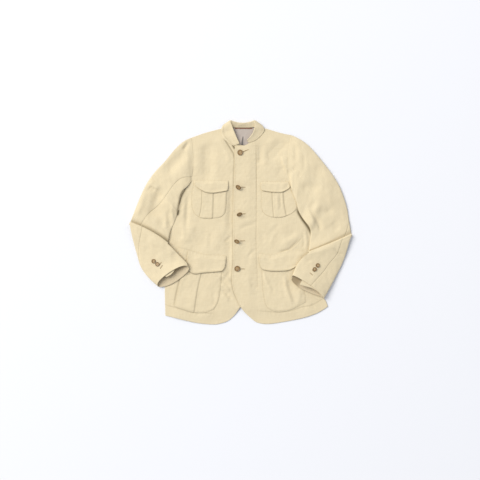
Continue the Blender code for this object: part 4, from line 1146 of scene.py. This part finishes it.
def makeCollar():
    u, v = gridOf(collar["grid"])
    base = collarGrid(u, v)
    grid = base + normalsOf(base) * collar["lift"]
    along, across = u * collar["length"], v * collar["depth"]
    uneven = sum(ripples(along, across, *row) for row in collar["ripples"])
    low, high = collar["rippleFade"]
    uneven = uneven * smoothStep(v * low) * smoothStep((1 - v) * high)
    grid = grid + normalsOf(grid) * uneven[..., None]
    x, y = grid[..., 0], grid[..., 1]
    seat = np.where(x < collar["middle"], frontTop(x, y, "right")[0], frontTop(x, y, "left")[0])
    leaf = smoothStep((np.abs(u - 0.5) - collar["leafStart"]) / collar["leafRun"]) * smoothStep(2 * v - 1)
    grid[..., 2] -= np.maximum(grid[..., 2] - seat - collar["wall"] - collar["seatGap"], 0) * leaf
    border = np.minimum(np.minimum(along, collar["length"] - along), collar["depth"] - across)
    dip = collar["seamDip"] * bell((border - collar["seamIn"]) / collar["seamWidth"])
    grid = grid - normalsOf(grid) * dip[..., None]
    mark = collar["seamMark"] * bell((border - collar["seamIn"]) / collar["markWidth"])
    made = clothShell("collarCloth", "collar", grid, collar["wall"], arcMap(grid), mark, linen)
    return grid


collarTop = makeCollar()
print("collar: one")


# buttons, buttonholes and stitching

buttons = {  # front rows: x, y, lean and the heading it leans to; cuff rows: x, y
    "front": [(-2, 244, 4, 200), (-8, 123, 48, 233), (-5, 29, 52, 292), (-13, -65, 50, 246),
              (-12, -161, 4, 180)],
    "right": [(-301, -134), (-288.5, -144)], "left": [(268, -150), (256.5, -162)],
    "frontRadius": 9.8, "cuffRadius": 7.4, "thick": 3.0, "lay": 0.6, "sides": 40, "rows": 46,
    "profile": [(0.0, 0.0), (0.45, 0.0), (0.72, 0.02), (0.92, 0.2), (1.0, 0.5), (0.985, 0.8), (0.92, 1.0),
                (0.84, 0.95), (0.76, 0.8), (0.66, 0.73), (0.4, 0.71), (0.2, 0.71), (0.0, 0.71)],
    "holes": 4, "holeReach": 0.21, "holeSize": 0.085, "holeDepth": 0.55,
    "faceStart": 0.55, "faceRun": 0.05, "rimStart": 0.62, "rimRun": 0.2,
    "threadScale": 1.9, "threadRise": 0.74, "threadAlong": 0.55, "threadApart": 0.25,
}
buttonholes = {  # rows: where, x, y, half length, heading
    "rows": [("front", 17, 250.5, 9.4, 22), ("front", 8, 123, 7.5, 0), ("front", 9, 30, 6.5, 5),
             ("front", 6, -64, 8, 2), ("front", 5, -162, 8, 0), ("right", -279.7, -144.6, 5.0, 56),
             ("right", -274.0, -152.6, 5.6, 56), ("left", 251.5, -167, 4, 138),
             ("left", 244.5, -178, 5.6, 138)],
    "halfWidth": 1.0, "cord": 0.5, "rise": 0.25, "points": 30, "sides": 6,
}
stitch = {
    "pitch": 3.3, "half": 1.15, "radius": 0.3, "sides": 5, "rings": [(-0.75, 0.8), (0.0, 1.0), (0.75, 0.8)],
    "step": 0.8, "rise": 0.12, "leftEdge": 0.019, "rightEdge": 0.982, "rightReach": 0.06,
    "ends": 0.03, "pocketFoot": 0.035, "flapFoot": 0.1,
    "collarRow": -3, "ventRows": (-30, -1), "ventColumn": -5,
}


def seatOn(place, x, y):
    # the point and the normal of the cloth under x, y: on the left front or on a forearm's inner panel
    if place == "front":
        at = np.array([[x, y], [x + 2, y], [x - 2, y], [x, y + 2], [x, y - 2]], float)
        z = frontTop(at[:, 0], at[:, 1], "left")[0]
        return np.array([x, y, z[0]]), unit(np.array([(z[2] - z[1]) / 4, (z[4] - z[3]) / 4, 1.0]))
    grid = sleeveGrids[place]["Inner"]
    normals = normalsOf(grid) * (-1 if sleeves[place]["flip"] else 1)
    away = np.hypot(grid[..., 0] - x, grid[..., 1] - y) + 1e3 * (normals[..., 2] < 0.3)
    away[:sleeveRings[place]["lowStart"]] += 1e3
    row, column = np.unravel_index(np.argmin(away), away.shape)
    return grid[row, column], normals[row, column]


def spun(rings, first, last):
    # closed surface of rings between two end points: all triangles, fans at the ends
    rows, sides = rings.shape[:2]
    index = np.arange(rows * sides).reshape(rows, sides) + 2
    wrapped = np.hstack([index, index[:, :1]])
    square = quads(wrapped)
    ends = [np.stack([np.full(sides, 0), wrapped[0, 1:], wrapped[0, :-1]], -1),
            np.stack([np.full(sides, 1), wrapped[-1, :-1], wrapped[-1, 1:]], -1)]
    faces = np.vstack([square[:, :3], square[:, [0, 2, 3]], *ends])
    return np.vstack([first, last, rings.reshape(-1, 3)]), faces


def buttonForm(radius):
    # a profile turned about its axis, with round holes sunk into its face: depth times
    # exp(-(distance / size)^4)
    line = byLength(smoothLine(buttons["profile"], 8))(np.linspace(0, 1, buttons["rows"])[1:-1])
    angle = circle(buttons["sides"])
    r, z = line[:, :1] * radius, line[:, 1:] * buttons["thick"]
    rings = np.stack([r * np.cos(angle), r * np.sin(angle), z + 0 * angle], -1)
    face = np.arange(len(line))[:, None] / len(line)
    face = smoothStep((face - buttons["faceStart"]) / buttons["faceRun"])
    reach, size = buttons["holeReach"] * radius, buttons["holeSize"] * radius
    for turn in (np.arange(buttons["holes"]) + 0.5) * 2 * math.pi / buttons["holes"]:
        away = np.hypot(rings[..., 0] - reach * math.cos(turn), rings[..., 1] - reach * math.sin(turn))
        rings[..., 2] -= face * buttons["holeDepth"] * buttons["thick"] * np.exp(-(away / size) ** 4)
    shade = smoothStep((line[:, 0] - buttons["rimStart"]) / buttons["rimRun"])[:, None] + 0 * angle
    return rings, np.concatenate([[0.0, 0.0], shade.ravel()])


def facing(lean, heading):  # turned about Y by the lean, then about Z by the heading
    a, b = math.radians(lean), math.radians(heading)
    tilt = np.array([[math.cos(a), 0, math.sin(a)], [0, 1, 0], [-math.sin(a), 0, math.cos(a)]])
    return np.array([[math.cos(b), -math.sin(b), 0], [math.sin(b), math.cos(b), 0], [0, 0, 1]]) @ tilt


def capsules(middle, ahead, normal, scale=1.0):
    # many small rods: rings of points along each direction, squashed ends closed by fans
    across = np.cross(normal, ahead)
    angle = circle(stitch["sides"])
    t, size = np.array(stitch["rings"]).T[..., None]
    size = size * stitch["radius"]
    local = np.stack([t * stitch["half"] + 0 * angle, size * np.cos(angle), size * np.sin(angle)], -1)
    points, faces = spun(local, [[-stitch["half"], 0, 0]], [[stitch["half"], 0, 0]])
    axes = np.stack([ahead, across, normal], 1) * scale
    moved = np.einsum("pk,nkj->npj", points, axes) + middle[:, None]
    step = len(points) * np.arange(len(middle))[:, None, None]
    return moved.reshape(-1, 3), (faces + step).reshape(-1, 3)


def stitchesAlong(line, normals=None):
    # the middle, direction and normal of every stitch, evenly along a line on the cloth
    gone = lengths(line)
    count = int(gone[-1] / stitch["pitch"])
    at = (np.arange(count) + 0.5) * gone[-1] / count
    ahead = unit(readAt(at + stitch["step"], gone, line) - readAt(at - stitch["step"], gone, line))
    normal = np.tile([0.0, 0.0, 1.0], (count, 1)) if normals is None else readAt(at, gone, normals)
    normal = unit(normal - ahead * (normal * ahead).sum(1)[:, None])
    return readAt(at, gone, line) + normal * stitch["rise"], ahead, normal


def makeButtons():
    threads = []
    words = {"front": "frontButton", "right": "cuffButtonRight", "left": "cuffButtonLeft"}
    rows = [(place, word + str(number + 1), row) for place, word in words.items()
            for number, row in enumerate(buttons[place])]
    for place, name, row in rows:
        radius = buttons["frontRadius" if place == "front" else "cuffRadius"]
        point, normal = seatOn(place, *row[:2])
        if place == "front":
            lean, heading = row[2:]
            point = point + [0, 0, buttons["lay"] + radius * math.sin(math.radians(lean))]
        else:
            lean, heading = np.degrees([math.acos(normal[2]), math.atan2(normal[1], normal[0])])
            point = point + normal * buttons["lay"]
        turn = facing(lean, heading)
        rings, shade = buttonForm(radius)
        points, faces = spun(rings, [[0, 0, 0]], [[0, 0, buttons["profile"][-1][1] * buttons["thick"]]])
        made = writeMesh(name, points @ turn.T + point, faces, horn, marks=shade)
        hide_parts(nodeOf(name))
        reach = buttons["holeReach"] * radius * math.sqrt(0.5)
        step, sign = np.tile([-1.0, 0.0, 1.0], 2), np.repeat([-1.0, 1.0], 3)
        bars = np.column_stack([step * buttons["threadAlong"] * reach,
                                sign * reach + step * buttons["threadApart"],
                                np.full(len(step), buttons["threadRise"] * buttons["thick"])])
        ways = [np.tile(turn[:, axis], (len(step), 1)) for axis in (0, 2)]
        threads.append((bars @ turn.T + point, *ways))
    points, faces = capsules(*(np.vstack(part) for part in zip(*threads)), scale=buttons["threadScale"])
    writeMesh("buttonThread", points, faces, sewingThread)
    return len(rows)


def makeButtonholes():
    # a cord round every slit: circles along a stretched ring, x = a clip(1.3 cos) + b cos, y = b sin
    t, side = circle(buttonholes["points"]), circle(buttonholes["sides"])
    wide, cord = buttonholes["halfWidth"], buttonholes["cord"]
    every = []
    for place, x, y, half, heading in buttonholes["rows"]:
        point, normal = seatOn(place, x, y)
        level = np.array([math.cos(math.radians(heading)), math.sin(math.radians(heading)), 0.0])
        ahead = unit(level - normal * (level @ normal))
        ring = np.stack([half * np.clip(1.3 * np.cos(t), -1, 1) + wide * np.cos(t), wide * np.sin(t)], -1)
        out = np.stack([np.cos(t), np.sin(t)], -1)
        flat = ring[:, None] + out[:, None] * (cord * np.cos(side))[None, :, None]
        height = buttonholes["rise"] + cord * np.sin(side) + 0 * t[:, None]
        axes = np.array([ahead, np.cross(normal, ahead), normal])
        every.append(np.dstack([flat, height]).reshape(-1, 3) @ axes + point)
    index = np.arange(len(t) * len(side)).reshape(len(t), len(side))
    wrapped = np.vstack([index, index[:1]])
    faces = quads(np.hstack([wrapped, wrapped[:, :1]]))
    step = len(t) * len(side) * np.arange(len(every))[:, None, None]
    writeMesh("buttonholeCord", np.vstack(every), (faces + step).reshape(-1, 4), holeThread)
    return len(every)


def makeStitches():
    # stand, hems, front edges, pockets, flaps, collar edge and the vent
    t = np.linspace(0, 1, 300)
    fronts = [(side, smoothLine(frontSeamsAndShade[side][number][0], 30))
              for side, number in (("left", 0), ("left", 1), ("right", 0))]
    near = t[t < stitch["rightReach"]]
    fronts += [("left", leftSpread(np.full(len(t), stitch["leftEdge"]), t)),
               ("right", rightSpread(np.full(len(near), stitch["rightEdge"]), near))]
    runs = [stitchesAlong(np.column_stack([xy, frontTop(*xy.T, side)[0]])) for side, xy in fronts]
    for name, place in places.items():
        foot, end = stitch["pocketFoot" if name in pockets else "flapFoot"], stitch["ends"]
        down, level = 1 - t * (1 - foot), 0 * t
        for u, v in ((end + level, down), (end + (1 - 2 * end) * t, foot + level),
                     (1 - end + level, down[::-1])):
            runs.append(stitchesAlong(place(u[None], v[None])[0][0]))
    row, column, vent = stitch["collarRow"], stitch["ventColumn"], sleeveGrids["left"]["Outer"]
    runs.append(stitchesAlong(collarTop[row], normalsOf(collarTop)[row]))
    strip = (slice(*stitch["ventRows"]), column)
    runs.append(stitchesAlong(vent[strip], normalsOf(vent)[strip]))
    points, faces = capsules(*(np.vstack(part) for part in zip(*runs)))
    writeMesh("stitching", points, faces, sewingThread)
    return sum(len(run[0]) for run in runs)


print("trim:", makeButtons(), "buttons,", makeButtonholes(), "buttonholes,", makeStitches(), "stitches")


# camera, light and table

studio = {
    "height": 2.334, "aim": (-0.0026, -0.061), "lens": 50.0,
    "keyPlace": (-8.0, 5.5, 10.2), "keySize": 8.6, "keyPower": 1880.0, "keyColour": (1.0, 0.97, 0.92),
    "skyColour": (0.90, 0.93, 1.0), "skyStrength": 0.63,
    "table": (0.815, 0.825, 0.855), "tableDeep": (0.79, 0.80, 0.835), "tableHalf": 6.0, "tableDrop": 0.0004,
}


def makeStudio():
    scene = bpy.context.scene
    camera = bpy.data.objects.new("camera", bpy.data.cameras.new("camera"))
    camera.data.lens = studio["lens"]
    camera.location = (*studio["aim"], studio["height"])  # straight down, +Y up
    scene.collection.objects.link(camera)
    scene.camera = camera
    key = bpy.data.objects.new("key", bpy.data.lights.new("key", "AREA"))
    key.data.size, key.data.energy = studio["keySize"], studio["keyPower"]
    key.data.color = studio["keyColour"]
    x, y, z = studio["keyPlace"]
    key.location = studio["keyPlace"]
    key.rotation_euler = (math.atan2(math.hypot(x, y), z), 0.0, math.atan2(-x, y) + math.pi)
    scene.collection.objects.link(key)
    world = bpy.data.worlds.new("studio")
    world.use_nodes = True
    world.node_tree.nodes["Background"].inputs[0].default_value = (*studio["skyColour"], 1.0)
    world.node_tree.nodes["Background"].inputs[1].default_value = studio["skyStrength"]
    scene.world = world
    scene.view_settings.view_transform = "Standard"
    made = Finish("paleTable")
    where = made.node("ShaderNodeTexCoord", {}, {}, 3)
    grain = made.noise(where, (9.0, 9.0, 9.0), 3.0)
    tint = made.blend(grain * 0.1, (*studio["table"], 1.0), (*studio["tableDeep"], 1.0))
    look = made.done({"Base Color": tint, "Roughness": 0.7, "Specular IOR Level": 0.1})
    mesh = bpy.data.meshes.new("table")
    half, low = studio["tableHalf"], -studio["tableDrop"]
    corners = [(-half, -half, low), (half, -half, low), (half, half, low), (-half, half, low)]
    mesh.from_pydata(corners, [], [(0, 1, 2, 3)])
    mesh.materials.append(look)
    table = bpy.data.objects.new("table", mesh)
    scene.collection.objects.link(table)


makeStudio()
print("studio: camera, key, sky and table")
